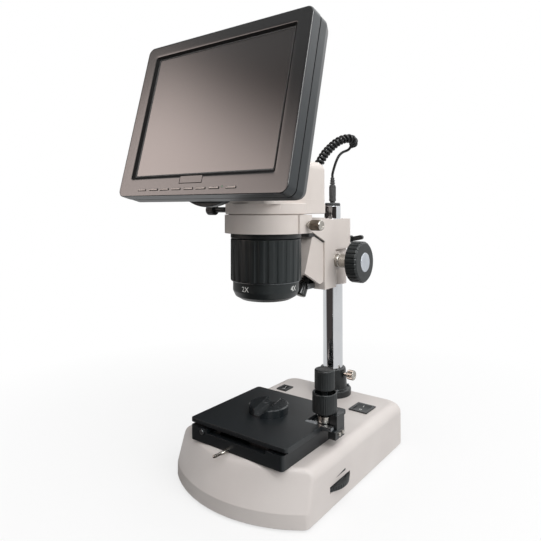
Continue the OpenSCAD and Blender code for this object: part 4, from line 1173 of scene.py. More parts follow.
@dataclass
class CurlyCord(Assembly):
    """Curly cord from the head's back to the plug on the pillar.

    The coil's middle is a smooth line; the cord runs round it at a radius that grows from
    nothing at each end.
    """

    wire: float = 3.2
    coil_radius: float = 3.9
    pitch: float = 4.9
    per_turn: int = 15
    coil_route: tuple = (
        (4, 18, 300), (4, 21, 300), (4, 25.5, 303.5), (5, 29.5, 310.5), (6.5, 33.5, 318.5),
        (8.5, 38.5, 327), (11, 46, 337.5), (14, 54, 345.5), (18, 62, 352.5), (22.5, 70, 357),
        (26.5, 78, 358.5), (27.5, 86, 357), (24, 92.5, 353.5), (18.5, 95, 349.5),
    )
    lead_route: tuple = (
        (18.5, 95, 349.5), (15.75, 96, 347.5), (12.4, 95.6, 346.2), (9.3, 92.8, 344.4), (6.9, 89.4, 340.8),
        (4.8, 87, 335.5), (3, 85.6, 329.5), (1.3, 84.6, 323), (0, 84, 317), (0, 84, 313), (0, 84, 300),
    )
    plug_foot: float = 271.9
    plug_shoulder: float = 284.0
    plug_top: float = 303.0
    relief_top: float = 313.0
    # At each end the wire runs straight, and then the coil's radius grows over a ramp.
    straight: float = 5.0
    ramp: float = 9.0
    # Points of the coil's route where it passes from the head to the slide, and to the arm.
    passes: tuple[int, int] = (6, 9)

    def coil_line(self) -> tuple[np.ndarray, np.ndarray, np.ndarray]:
        """Winds the coil round its middle line.

        Point i is M_i + r_i (cos f_i s_i + sin f_i u_i), f_i growing by a turn a pitch, and
        r_i by 3 t^2 - 2 t^3 from nothing at each end.

        Returns:
            Points of the cord, the way out from the coil's middle at each, and the middle points.
        """
        middle = smooth_route(self.coil_route, self.pitch / self.per_turn)
        run = np.arange(len(middle)) * self.pitch / self.per_turn
        total = run[-1]
        direction = unit(np.gradient(middle, axis=0))
        side = unit(np.cross(direction, (1.0, -0.25, 0.0)))
        up = np.cross(direction, side)
        rise = np.clip((run - self.straight) / self.ramp, 0, 1)
        fall = np.clip((total - run) / self.ramp, 0, 1)
        radius = self.coil_radius * (rise * rise * (3 - 2 * rise)) * (fall * fall * (3 - 2 * fall))
        angle = 2 * np.pi * run / self.pitch
        out = np.cos(angle)[:, None] * side + np.sin(angle)[:, None] * up
        return middle + radius[:, None] * out, out, middle

    def plug(self) -> bpy.types.Object:
        """Moulded plug: a grip with rings, and a tapered relief with slots cut round it.

        Returns:
            The piece.
        """
        x, y, _ = self.lead_route[-1]
        body = [
            [0, self.plug_foot], [3.0, self.plug_foot], [3.0, self.plug_shoulder - 0.4],
            [4.2, self.plug_shoulder], [4.2, 287.0], [3.9, 287.6], [4.2, 288.2], [3.9, 288.8], [4.2, 289.4],
            [3.9, 290.0], [4.2, 290.6], [4.2, self.plug_top - 1.5], [3.6, self.plug_top], [3.3, 304.0],
            [2.3, 304.4], [2.3, 305.0], [3.2, 305.4], [3.15, 306.9], [2.2, 307.3], [2.2, 307.9],
            [3.0, 308.3], [2.9, 309.8], [2.1, 310.2], [2.1, 310.8], [2.6, 311.2], [2.3, self.relief_top],
            [1.62, self.relief_top], [0, self.relief_top],
        ]
        surface = turned(eased(body, 0.25, 2), 48).placed(Matrix.Translation((x, y, 0)))
        return self.add("plug_and_relief", surface, RUBBER, "base", "rubber_black", ("cord_plug",))

    def make(self) -> None:
        """Makes the plug, the lead and the three parts of the coil."""
        plug = self.plug()
        line, out, middle = self.coil_line()
        first, second = (
            np.linalg.norm(middle - np.array(self.coil_route[i]), axis=1).argmin() for i in self.passes
        )
        spans = [
            (0, first, "head", "carriage"), (first, second, "carriage", "arm"),
            (second, len(line) - 1, "arm", "bush"),
        ]
        lead = smooth_route(self.lead_route, 1.5)
        across = np.array((1.0, -0.6, 0.0))
        self.span("lead", lead, across, "bush", "base", lead[0], lead[-1], "plug", [plug], ["cord_lead"])
        for number, (a, b, near, far) in enumerate(spans, 1):
            part = slice(a, b + 1)
            self.span(
                f"curl_{number}", line[part], out[part], near, far, middle[a], middle[b], "object", [],
                ["curly_cord"],
            )

    def span(
        self, name: str, line: np.ndarray, side: np.ndarray, near: str, far: str, start: np.ndarray,
        end: np.ndarray, far_end: str, pieces: list, nodes: list[str],
    ) -> None:
        """Makes one stretch of the cord.

        Args:
            name: the stretch's name.
            line: points down its middle.
            side: a direction across it.
            near: not used.
            far: not used.
            start: not used.
            end: not used.
            far_end: not used.
            pieces: not used.
            nodes: solids that it stands for.
        """
        piece = self.add(name, tube(line, self.wire / 2, side, 10), JACKET, "", "cord_black", nodes, 60)
        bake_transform(piece)


@dataclass
class Base(Assembly):
    """Lit base: housing, feet, switches, dimmer, inlet and lamp window."""

    half_w: float = 80.0
    height: float = 49.0
    foot: float = 2.0
    back: float = 110.6
    back_round: float = 12.0
    front_radius: float = 128.286
    front_centre: float = 1.786
    front_round: float = 7.0
    crease: float = 15.0
    lean: float = 13.0
    shoulder: float = 11.0
    wall: float = 3.0
    window_r: float = 18.95
    axis_y: float = LENS_Y
    collar_hole: float = 12.05
    inlet: tuple[float, float, float] = (13.5, 16.0, 36.0)  # half width, foot and top of its opening
    brow: tuple[float, float] = (4.5, 3.2)  # height and depth of the rounding over the bow
    wells: tuple = ((52.0, 58.8, 22.0, 24.0), (-55.3, 60.0, 14.0, 17.0))  # x, y, width, depth
    rim: float = 1.6
    rocker_z: float = 46.0
    rocker_lean: float = 6.0
    rocker_rise: float = 1.2
    mark_share: float = 0.52  # where a rocker's marks are, from its middle to its end
    wheel: tuple[float, float, float] = (56.8, -43.0, 29.0)  # x, y, radius
    wheel_z: tuple[float, float] = (17.5, 21.5)
    wheel_teeth: int = 60

    def outline(self, side: np.ndarray, front: np.ndarray) -> np.ndarray:
        """The base's outline, drawn in by side from the sides and back and by front at the bow.

        Each row runs round arcs: the bow of radius R about (0, c + front), a fillet where it
        meets the side, the side, a quarter circle, the back, and the same mirrored.

        Args:
            side: how far the sides and back come in, one for each row.
            front: how far the bow comes in.

        Returns:
            Points of shape (rows, points, 2).
        """
        side, front = side[:, None], front[:, None]
        hw, back, cy = self.half_w - side, self.back - side, self.front_centre + front
        rf, rb, big = self.front_round, self.back_round, self.front_radius
        fx = hw - rf
        fy = cy - np.sqrt((big - rf) ** 2 - fx**2)
        meet = np.arctan2(fy - cy, fx)
        t = np.linspace(0, 1, 25)[None]
        bow = -np.pi / 2 + (meet + np.pi / 2) * t
        part_bow = np.stack([big * np.cos(bow), cy + big * np.sin(bow)], -1)
        t = np.linspace(0, 1, 9)[None, 1:]
        fillet = meet * (1 - t)
        part_fillet = np.stack([fx + rf * np.cos(fillet), fy + rf * np.sin(fillet)], -1)
        corner = np.pi / 2 * np.linspace(0, 1, 9)[None]
        part_corner = np.stack([hw - rb + rb * np.cos(corner), back - rb + rb * np.sin(corner)], -1)
        half = np.concatenate([part_bow, part_fillet, part_corner], axis=1)
        mirror = half[:, ::-1][:, :-1] * np.array([-1.0, 1.0])
        return np.concatenate([half, mirror], axis=1)

    def skin(self, inward: float, foot: float) -> tuple[np.ndarray, np.ndarray, np.ndarray]:
        """One face of the wall, from the foot to the crown.

        The bow leans back in proportion to height above the crease, its brow comes in by
        d (1 - sqrt(1 - t^2)), and the shoulder by r (1 - cos a) at height r sin a.

        Args:
            inward: how far inside the outer face it is.
            foot: height of its foot.

        Returns:
            Heights, insets of the sides and insets of the bow.
        """
        turn = np.linspace(0, np.pi / 2, 9)
        crown = self.height - inward
        z_up = crown - self.shoulder + self.shoulder * np.sin(turn)
        z = np.concatenate([[foot, self.crease - 0.5, self.crease + 0.5], z_up])
        side = np.concatenate([[0, 0, 0], self.shoulder * (1 - np.cos(turn))])
        front = self.lean * np.clip((z - self.crease) / (crown - self.crease), 0, 1)
        tall, deep = self.brow
        soft = np.clip((z - (crown - tall)) / tall, 0, 1)
        front = front + deep * (1 - np.sqrt(1 - soft**2 * 0.999))
        return z, side + inward, front + inward

    def housing(self) -> None:
        """The housing as one wall: the outline carried up the outside and down the inside."""
        top = self.height
        z1, s1, f1 = self.skin(0.0, self.foot + 0.6)
        z0, s0, f0 = self.skin(self.wall, self.foot)
        z = np.concatenate([z0[::-1], [self.foot], z1])
        side = np.concatenate([s0[::-1], [0.6], s1])
        front = np.concatenate([f0[::-1], [0.6], f1])
        surface = stacked(self.outline(side, front), z)
        wx, wy, wr = self.wheel
        tools = rod(self.window_r + 0.08, (0, self.axis_y, top - 8), (0, self.axis_y, top + 5), sides=96)
        tools += rod(self.collar_hole, (0, PILLAR_Y, top - 8), (0, PILLAR_Y, top + 5), sides=96)
        for x, y, w, d in self.wells:
            hw, hd = w / 2 - self.rim, d / 2 - self.rim
            tools += box_surface((x - hw, y - hd, top - 6), (x + hw, y + hd, top + 4))
        low, high = self.wheel_z
        tools += rod(wr + 1, (wx, wy, low - 1), (wx, wy, high + 1), sides=128)
        half, low, high = self.inlet
        tools += box_surface((-half, self.back - 8, low), (half, self.back + 4, high))
        self.add(
            "housing_shell", surface, CREAM_BASE, "base", "cream_plastic_base", ("base_housing",), 28,
            tools, 0.35,
        )

    def window(self) -> None:
        """Opal disc with a ground edge, flush with the top."""
        line = eased([[0, 46.5], [self.window_r, 46.5], [self.window_r, 49.0], [0, 49.0]], 0.5)
        disc = turned(line, 96).placed(Matrix.Translation((0, self.axis_y, 0)))
        self.add("lamp_window", disc, OPAL, "base", "window_glass", ("light_window",))

    def dimmer(self) -> None:
        """Thumb wheel with fine teeth, lying in the slot."""
        x, y, r = self.wheel
        low, high = self.wheel_z
        line = [
            [0, low], [r - 5, low], [r - 4.5, low + 0.5], [r - 3.5, low + 0.5], [r - 3, low], [r, low],
            [r, high], [r - 3, high], [r - 3.5, high - 0.5], [r - 4.5, high - 0.5], [r - 5, high],
            [0, high],
        ]
        teeth = grooves(self.wheel_teeth, 0.6, low + 0.5, high - 0.5, steep=2)
        wheel = turned(eased(line, 0.35, 2), self.wheel_teeth * 6, teeth)
        hub = turned(eased([[0, 4.3], [3, 4.3], [3, low + 0.2], [0, low + 0.2]], 0.3), 32)
        both = (wheel + hub).placed(Matrix.Translation((x, y, 0)))
        self.add("dimmer_thumb_wheel", both, PHENOLIC, "dimmer", "switch_black", ("dimmer_wheel",))

    def wedge(self) -> None:
        """Printed brightness wedge beside the wheel: a thin triangle with round corners.

        It follows the side's flat face, 0.12 mm proud of it.
        """
        corners = eased([[-50.5, 26.6], [-33.0, 28.6], [-33.0, 26.6]], 0.5, 3, closed=True)
        near = np.column_stack([np.full(len(corners), self.half_w - 0.15), corners])
        far = near + np.array([0.27, 0, 0])
        band = grid_surface(np.stack([near, far]), ends=(True, True))
        self.add("brightness_wedge", band, INK_DARK, "base", "switch_black")

    def rockers(self) -> None:
        """Switch frames with rounded rims, and rockers with their printed marks."""
        self.soften("switch_frames", NYLON, "base", "switch_black", 0.45)
        self.soften("rocker_right", NYLON, "right_rocker", "switch_black", 0.35)
        self.soften("rocker_left", NYLON, "left_rocker", "switch_black", 0.35)
        line = [[1.1, -0.1], [1.6, -0.1], [1.6, 0.12], [1.1, 0.12]]
        ring = turned(eased(line, 0.04, 2, True), 32, closed=True)
        bar = box_surface((-0.25, -1.5, -0.1), (0.25, 1.5, 0.12), 0.04)
        for (x, y, _, d), body in zip(self.wells, ("right_rocker", "left_rocker")):
            lean = Matrix.Rotation(math.radians(self.rocker_lean), 4, "X")
            tilt = Matrix.Translation((x, y, self.rocker_z)) @ lean
            reach = d / 2 - self.rim - 2.8
            slope = math.atan2(self.rocker_rise, reach)
            for side, word, mark in ((1, "on", bar), (-1, "off", ring)):
                out, up = side * reach * self.mark_share, 3.4 + self.rocker_rise * self.mark_share
                spot = tilt @ Matrix.Translation((0, out, up)) @ Matrix.Rotation(side * slope, 4, "X")
                self.add(f"{body}_{word}_mark", mark.placed(spot), INK_WHITE, body, "switch_black")

    def make(self) -> None:
        """Makes the housing and everything on it."""
        self.housing()
        self.window()
        self.dimmer()
        self.wedge()
        self.rockers()
        for node, finish, slot, width in (
            ("power_inlet", NYLON, "inlet_black", 0.5),
            ("rubber_feet", RUBBER, "rubber_black", 0.5),
            ("bottom_plate", ZINC, "bright_steel", 0.3),
            ("body_screws", STEEL, "bright_steel", 0.3),
            ("power_board", BOARD, "board_green", 0.3),
            ("base_led", STEEL, "bright_steel", 0.3),
        ):
            self.soften(node, finish, "base", slot, width)


@dataclass
class Stage(Assembly):
    """Bed, saddle, plate, racks, specimen disc and the clamp screw."""

    pin: tuple[float, float, float] = (-1.0, -116.0, 51.6)
    handle_way: tuple[float, float, float] = (-0.676, -0.643, -0.360)
    handle: float = 10.2
    pin_r: float = 1.9
    handle_r: float = 1.5
    neck: tuple[float, float] = (13.0, 3.0)  # how far along the pin narrows, and over what length

    def screw(self) -> None:
        """Clamp screw: a pin with a bent handle, its middle line eased at the bend.

        The radius falls from the pin's to the handle's at the neck, and ends in a round tip.
        """
        x, y, z = self.pin
        way = np.array(self.handle_way) * self.handle
        line = eased([[x, -101, z], [x, y, z], [x + way[0], y + way[1], z + way[2]]], 2.0, 8)
        steps = np.linspace(0, run_along(line)[-1], 60)
        line = points_at(line, steps)
        left = steps[-1] - steps
        at, over = self.neck
        radius = self.pin_r - (self.pin_r - self.handle_r) * np.clip((steps - at) / over, 0, 1)
        radius = radius * np.sqrt(np.clip(1 - np.clip(1 - left / 1.5, 0, 1) ** 2, 0.02, 1))
        pin = tube(line, radius, np.array((0.0, 0.0, 1.0)), 24)
        self.add("stage_clamp_screw", pin, NICKEL, "stage_screw", "bright_steel", ("stage_lock_screw",))

    def make(self) -> None:
        """Finishes the stage's solids and adds the screw."""
        self.soften("stage_bed", ANODISED, "base", "black_stage", 0.35)
        self.soften("stage_saddle", ANODISED, "saddle", "black_stage", 0.3)
        self.soften(
            "knob_bracket", BLACK_PAINT, "saddle", "black_casting", 0.5, second=NICKEL, pick=self.bright,
        )
        self.soften("stage_top_plate", ANODISED, "stage_plate", "black_stage", 0.3)
        self.soften("x_rack", STEEL, "stage_plate", "dark_steel", 0.15)
        self.soften("specimen_disc", BAKELITE, "disc", "black_grip", 0.5)
        self.screw()

    @staticmethod
    def bright(centres: np.ndarray) -> np.ndarray:
        """Faces of the bearing ring under the knobs, and of the two screws on the right.

        Args:
            centres: face centres in millimetres.

        Returns:
            Which of them.
        """
        x, y = STAGE_KNOBS_XY
        ring = np.hypot(centres[:, 0] - x, centres[:, 1] - y) < 7.3
        ring &= (centres[:, 2] > 70.0) & (centres[:, 2] < 76.2)
        return ring | (centres[:, 0] > 76.05)


@dataclass
class StageKnobs(Assembly):
    """The two knobs on one axis, with their shafts and pinions."""

    axis: tuple[float, float] = STAGE_KNOBS_XY
    teeth: int = 14
    pinion_r: float = 5.46
    tooth: float = 1.26
    upper_ribs: int = 36
    lower_ribs: int = 34

    def pinion(self, low: float, high: float, phase: float) -> Surface:
        """Pinion: a turned disc with a groove between each pair of teeth.

        Args:
            low: its lower face.
            high: its upper face.
            phase: its turn in degrees.

        Returns:
            The pinion about the Z axis.
        """
        r = self.pinion_r
        line = np.array(
            [[0, low], [r - 0.2, low], [r, low + 0.2], [r, high - 0.2], [r - 0.2, high], [0, high]]
        )
        gear = turned(line, self.teeth * 10, grooves(self.teeth, self.tooth, low - 1, high + 1, 0.1, 2.5))
        return gear.placed(Matrix.Rotation(math.radians(phase), 4, "Z"))

    def make(self) -> None:
        """Makes the upper and the lower knob."""
        place = Matrix.Translation((*self.axis, 0))
        upper = turned(eased([[0, 62.8], [3, 62.8], [3, 101], [0, 101]], 0.1, 1), 40)
        knob = [
            [0, 101], [9.2, 101], [9.8, 101.6], [9.8, 119], [9.2, 119.8], [7.8, 120.1], [7.4, 119.7],
            [0, 119.7],
        ]
        cuts = grooves(self.upper_ribs, 0.4, 102.2, 118.4, -0.1, 2.0)
        upper += turned(eased(knob, 0.5), self.upper_ribs * 8, cuts)
        upper += self.pinion(62.8, 64.1, 180)
        self.add("upper_knob", upper.placed(place), PHENOLIC, "upper_stage_knob", "black_grip", ("y_knob",))
        sleeve = [[3.05, 69.3], [4.5, 69.3], [4.5, 76.6], [3.05, 76.6]]
        cup = [
            [3.05, 76.4], [6.4, 76.4], [6.8, 76.8], [6.8, 79.4], [11.2, 79.4], [12, 80.2], [12, 97.4],
            [11.5, 98.1], [10.6, 98.2], [10.0, 97.6], [10.0, 83.4], [3.05, 83.4],
        ]
        lower = turned(eased(sleeve, 0.1, 1, True), 40, closed=True)
        lower += turned(eased(cup, 0.4, 3, True), self.lower_ribs * 10, self.cup_cut, True)
        hollow = np.array([[3.05, 66.2], [5.3, 66.2], [5.46, 66.4], [5.46, 69.3], [5.3, 69.5], [3.05, 69.5]])
        gear = turned(hollow, self.teeth * 10, self.pinion_cut, True)
        lower += gear.placed(Matrix.Rotation(math.radians(-90), 4, "Z"))
        self.add("lower_knob", lower.placed(place), PHENOLIC, "lower_stage_knob", "black_grip", ("x_knob",))

    def cup_cut(self, profile: np.ndarray, angle: np.ndarray) -> np.ndarray:
        """Grooves on the cup's outer wall only."""
        cuts = grooves(self.lower_ribs, 0.8, 81.2, 96.8, -0.1, 2.2)
        return cuts(profile, angle) * (profile[:, 0:1] > 11.4)

    def pinion_cut(self, profile: np.ndarray, angle: np.ndarray) -> np.ndarray:
        """Tooth gaps on the pinion's outer wall only."""
        return grooves(self.teeth, self.tooth, 60, 75, 0.1, 2.5)(profile, angle) * (profile[:, 0:1] > 5.0)


@dataclass
class Pillar(Assembly):
    """Chrome pillar with its flange, collar, clamp knob, socket and bush.

    Profiles are rows of radius and height, and the knob's of radius and distance from the axis.
    """

    y: float = PILLAR_Y
    knob_z: float = 75.0
    tube: Line = ((9.5, 37), (12, 37), (12, 160), (12, 262.5), (9.5, 262.5), (9.5, 160))
    flange: Line = (
        (12.03, 49), (22, 49), (22, 55.8), (20.6, 57), (17.4, 57), (17.0, 57.8), (15.7, 78.5), (15.3, 80.2),
        (14.6, 81), (12.03, 81),
    )
    stem: tuple[float, float, float] = (2.5, 12.2, 21.2)
    hole_r: float = 2.55
    knob: Line = ((0, 21), (5.2, 21), (5.8, 21.6), (5.8, 28.4), (5.2, 29), (3.6, 29), (3.3, 28.6), (0, 28.6))
    socket: Line = ((7.5, 252.5), (9.45, 252.5), (9.45, 262.5), (10, 262.5), (10, 278), (7.5, 278))
    cap: Line = (
        (3.0, 270), (7.45, 270), (7.45, 277.9), (9.5, 278.05), (9.5, 280.6), (8.6, 281.8), (5.2, 281.8),
        (4.8, 281.3), (3.0, 281.3),
    )
    bush: Line = ((12.05, 184), (13.05, 184), (13.05, 262.5), (12.05, 262.5))

    def lathe(self, line: Line, soft: float, sides: int = 96) -> Surface:
        """A hollow profile with eased corners turned about the pillar's axis."""
        hollow = turned(eased(line, soft, 3, True), sides, closed=True)
        return hollow.placed(Matrix.Translation((0, self.y, 0)))

    def make(self) -> None:
        """Makes the tube, the castings round it and the knob."""
        tube_wall = self.lathe(self.tube, 0.5, 160)
        self.add("chrome_pillar", tube_wall, CHROME, "base", "pillar_chrome", ("pillar",))
        hole = rod(self.hole_r, (11, self.y, self.knob_z), (20, self.y, self.knob_z))
        flange = self.lathe(self.flange, 0.6)
        self.add(
            "flange_and_collar", flange, BLACK_PAINT, "base", "black_casting", ("pillar_flange",),
            cutters=hole,
        )
        turn = Matrix.Translation((0, self.y, self.knob_z)) @ Matrix.Rotation(math.pi / 2, 4, "Y")
        knob = fluted(self.stem, self.knob, 24, 0.5, (21.9, 28.1)).placed(turn)
        self.add("collar_clamp_knob", knob, NICKEL, "pillar_screw", "bright_steel", ("collar_knob",))
        self.add(
            "socket_sleeve", self.lathe(self.socket, 0.4), CHROME, "base", "pillar_chrome",
            ("socket_tube",),
        )
        self.add(
            "socket_plug_ring", self.lathe(self.cap, 0.4, 64), NYLON, "base", "black_grip", ("socket_cap",),
        )
        self.add("bronze_bush", self.lathe(self.bush, 0.25), BRONZE, "bush", "bronze_bush", ("clamp_bush",))


@dataclass
class FocusArm(Assembly):
    """Focus block with its shaft, knobs, slide and clamp lever."""

    shaft: tuple[float, float] = (56.0, 214.5)  # y, z
    knob_x: float = 43.0
    knob_r: float = 23.3
    knob_w: float = 14.5
    knob_ribs: int = 26
    inlay_r: float = 10.8
    bushing: Line = (
        (4.05, 11), (5.6, 11), (5.6, 22), (8, 22), (8, 26), (7.5, 26.4), (7.5, 27.4), (8, 27.8), (8, 36),
        (6.8, 36.6), (6.8, 42.7), (4.05, 42.7),
    )

    def on_shaft(self, side: int) -> Matrix:
        """Matrix that lays the Z axis along the shaft, outwards on one side."""
        return Matrix.Translation((0, *self.shaft)) @ Matrix.Rotation(side * math.pi / 2, 4, "Y")

    def knob(self, side: int) -> None:
        """Wide-ribbed knob with a dished face and a bright inlay, whose rings run round the shaft.

        Args:
            side: 1 for the right-hand knob, -1 for the left-hand one.
        """
        near, r, far, dish = self.knob_x, self.knob_r, self.knob_x + self.knob_w, self.inlay_r
        line = [
            [4, near], [r - 1.6, near], [r, near + 1.0], [r, far - 2.0], [r - 2.4, far], [dish + 0.1, far],
            [dish + 0.1, far - 1.2], [4, far - 1.2],
        ]
        grip = turned(eased(line, 0.5, 3, True), self.knob_ribs * 14, self.grip_cut, True)
        line = [
            [0, far - 1.1], [dish, far - 1.1], [dish, far + 0.35], [10.2, far + 0.7], [5, far + 0.78],
            [0, far + 0.8],
        ]
        inlay = turned(eased(line, 0.2, 2), 96)
        rings = replace(
            INLAY, name="turned_inlay", grain=0.7, relief=0.02, strength=0.22, pattern=Grain.RINGS_X,
            centre=(0, *self.shaft),
        )
        word = "right" if side > 0 else "left"
        place = self.on_shaft(side)
        self.add(
            f"{word}_grip", grip.placed(place), PHENOLIC, "focus_shaft", "black_grip",
            (f"focus_knob_{word}",),
        )
        self.add(f"{word}_inlay", inlay.placed(place), rings, "focus_shaft", "bright_steel")

    def grip_cut(self, profile: np.ndarray, angle: np.ndarray) -> np.ndarray:
        """Grooves between the knob's wide ribs, on its rim only."""
        cuts = grooves(self.knob_ribs, 0.9, self.knob_x + 0.8, self.knob_x + self.knob_w - 1.4, -0.72, 6.0)
        return cuts(profile, angle) * (profile[:, 0:1] > self.knob_r - 2.6)

    def bushings(self) -> None:
        """Bright bushings with a step and a groove, one on each side."""
        one = turned(eased(self.bushing, 0.3, 2, True), 72, closed=True)
        both = one.placed(self.on_shaft(1)) + one.placed(self.on_shaft(-1))
        self.add("shaft_bushes", both, NICKEL, "arm", "bright_steel", ("shaft_bushings",))

    def make(self) -> None:
        """Finishes the block and makes what turns in it."""
        self.soften("focus_block", CREAM, "arm", "cream_casting", 0.8)
        self.soften("focus_slide", BLACK_PAINT, "carriage", "black_casting", 0.35)
        self.soften("pinion_shaft", STEEL, "focus_shaft", "bright_steel", 0.15)
        self.soften("lock_lever", BLACK_PAINT, "clamp_lever", "black_grip", 1.0)
        self.bushings()
        self.knob(1)
        self.knob(-1)


@dataclass
class Carriage(Assembly):
    """Ring holder, its thumb screw, and the spot lamp on its bracket."""

    screw: tuple[float, float] = (-42.5, 258.8)  # y, z
    stem: tuple[float, float, float] = (2.4, 39, 46.8)
    head: Line = (
        (0, 46.5), (4.2, 46.5), (4.4, 48.4), (5.3, 49.0), (5.3, 59.6), (4.7, 60.5), (3.2, 60.5),
        (2.9, 60.0), (0, 60.0),
    )
    lamp_at: tuple[float, float, float] = (0.0, 16.5, 188.0)
    lamp_tilt: float = 30.07
    lamp_line: Line = (
        (0, -11.4), (4.6, -11.4), (5.0, -10.6), (5.6, -11.5), (6.3, -10.9), (6.3, 1.2), (5.9, 1.5),
        (6.1, 1.6), (6.1, 2.6), (4.4, 2.7), (4.4, 3.8), (6.2, 3.9), (6.2, 4.9), (4.4, 5.0), (4.4, 6.1),
        (6.2, 6.2), (6.2, 7.3), (4.6, 7.5), (0, 7.5),
    )
    gusset: tuple = ((0.0, -1.5, 249.6), (0.0, 27.4, 237.7))  # ends of the painted shadow lines on its sides

    def thumb_screw(self) -> None:
        """Nickel thumb screw with a fluted head, duller and browner over its fluted band."""
        turn = Matrix.Translation((0, *self.screw)) @ Matrix.Rotation(math.pi / 2, 4, "Y")
        screw = fluted(self.stem, self.head, 24, 0.45, (49.4, 59.2)).placed(turn)
        piece = self.add(
            "ring_clamp_screw", screw, NICKEL, "ring_screw", "bright_steel", ("ring_thumbscrew",),
        )
        two_tone(piece, DULL_NICKEL, lambda c: (c[:, 0] > 49.5) & (c[:, 0] < 59.0))

    def lamp(self) -> None:
        """Spot lamp: finned rear, smooth nose and a domed lens in its mouth."""
        place = Matrix.Translation(self.lamp_at) @ Matrix.Rotation(math.radians(-self.lamp_tilt), 4, "X")
        shell = turned(eased(self.lamp_line, 0.25), 72).placed(place)
        tools = joined(rod(1.7, (x, 0, 0), (x + 5, 0, 0)).placed(place) for x in (-8, 3))
        self.add("spot_lamp", shell, LAMP_BODY, "lamp", "lamp_metal", ("oblique_lamp",), cutters=tools)
        t = np.linspace(0, np.pi / 2, 9)
        dome = np.stack([4.5 * np.sin(t), -11.6 - 0.7 * np.cos(t)], -1)
        lens = turned(np.concatenate([dome, [[4.5, -11.0], [0, -11.0]]]), 48)
        self.add("spot_lens", lens.placed(place), LAMP_LENS, "lamp", "lens_metal")

    def seals(self) -> None:
        """Painted shadow: a black block in the corner under the arm, and a dark line down each side of the
        gusset.

        Each dark line is a thin bar laid along the line between the gusset's two ends.
        """
        shade_block = box_surface((-21.5, -3.5, 244.4), (21.5, 8.0, 250.8), 0.8)
        start, end = (Vector(point) for point in self.gusset)
        turn = Matrix.Rotation(-math.atan2(start.z - end.z, end.y - start.y), 4, "X")
        long = (end - start).length
        bars = joined(
            box_surface((low, 0, -0.75), (high, long, 0.45), 0.2)
            for low, high in ((19.8, 21.2), (-21.2, -19.8))
        )
        lines = bars.placed(Matrix.Translation(start) @ turn)
        # Black rubber stands for the shade under the arm and along the gusset.
        self.add("dust_seal", shade_block + lines, RUBBER, "carriage", "rubber_black")

    def make(self) -> None:
        """Finishes the ring and bracket, and makes the screw and lamp."""
        self.soften("ring_holder", CREAM, "carriage", "cream_casting", 0.7)
        self.soften("lamp_bracket", STEEL, "carriage", "dark_steel", 0.3)
        self.seals()
        self.thumb_screw()
        self.lamp()


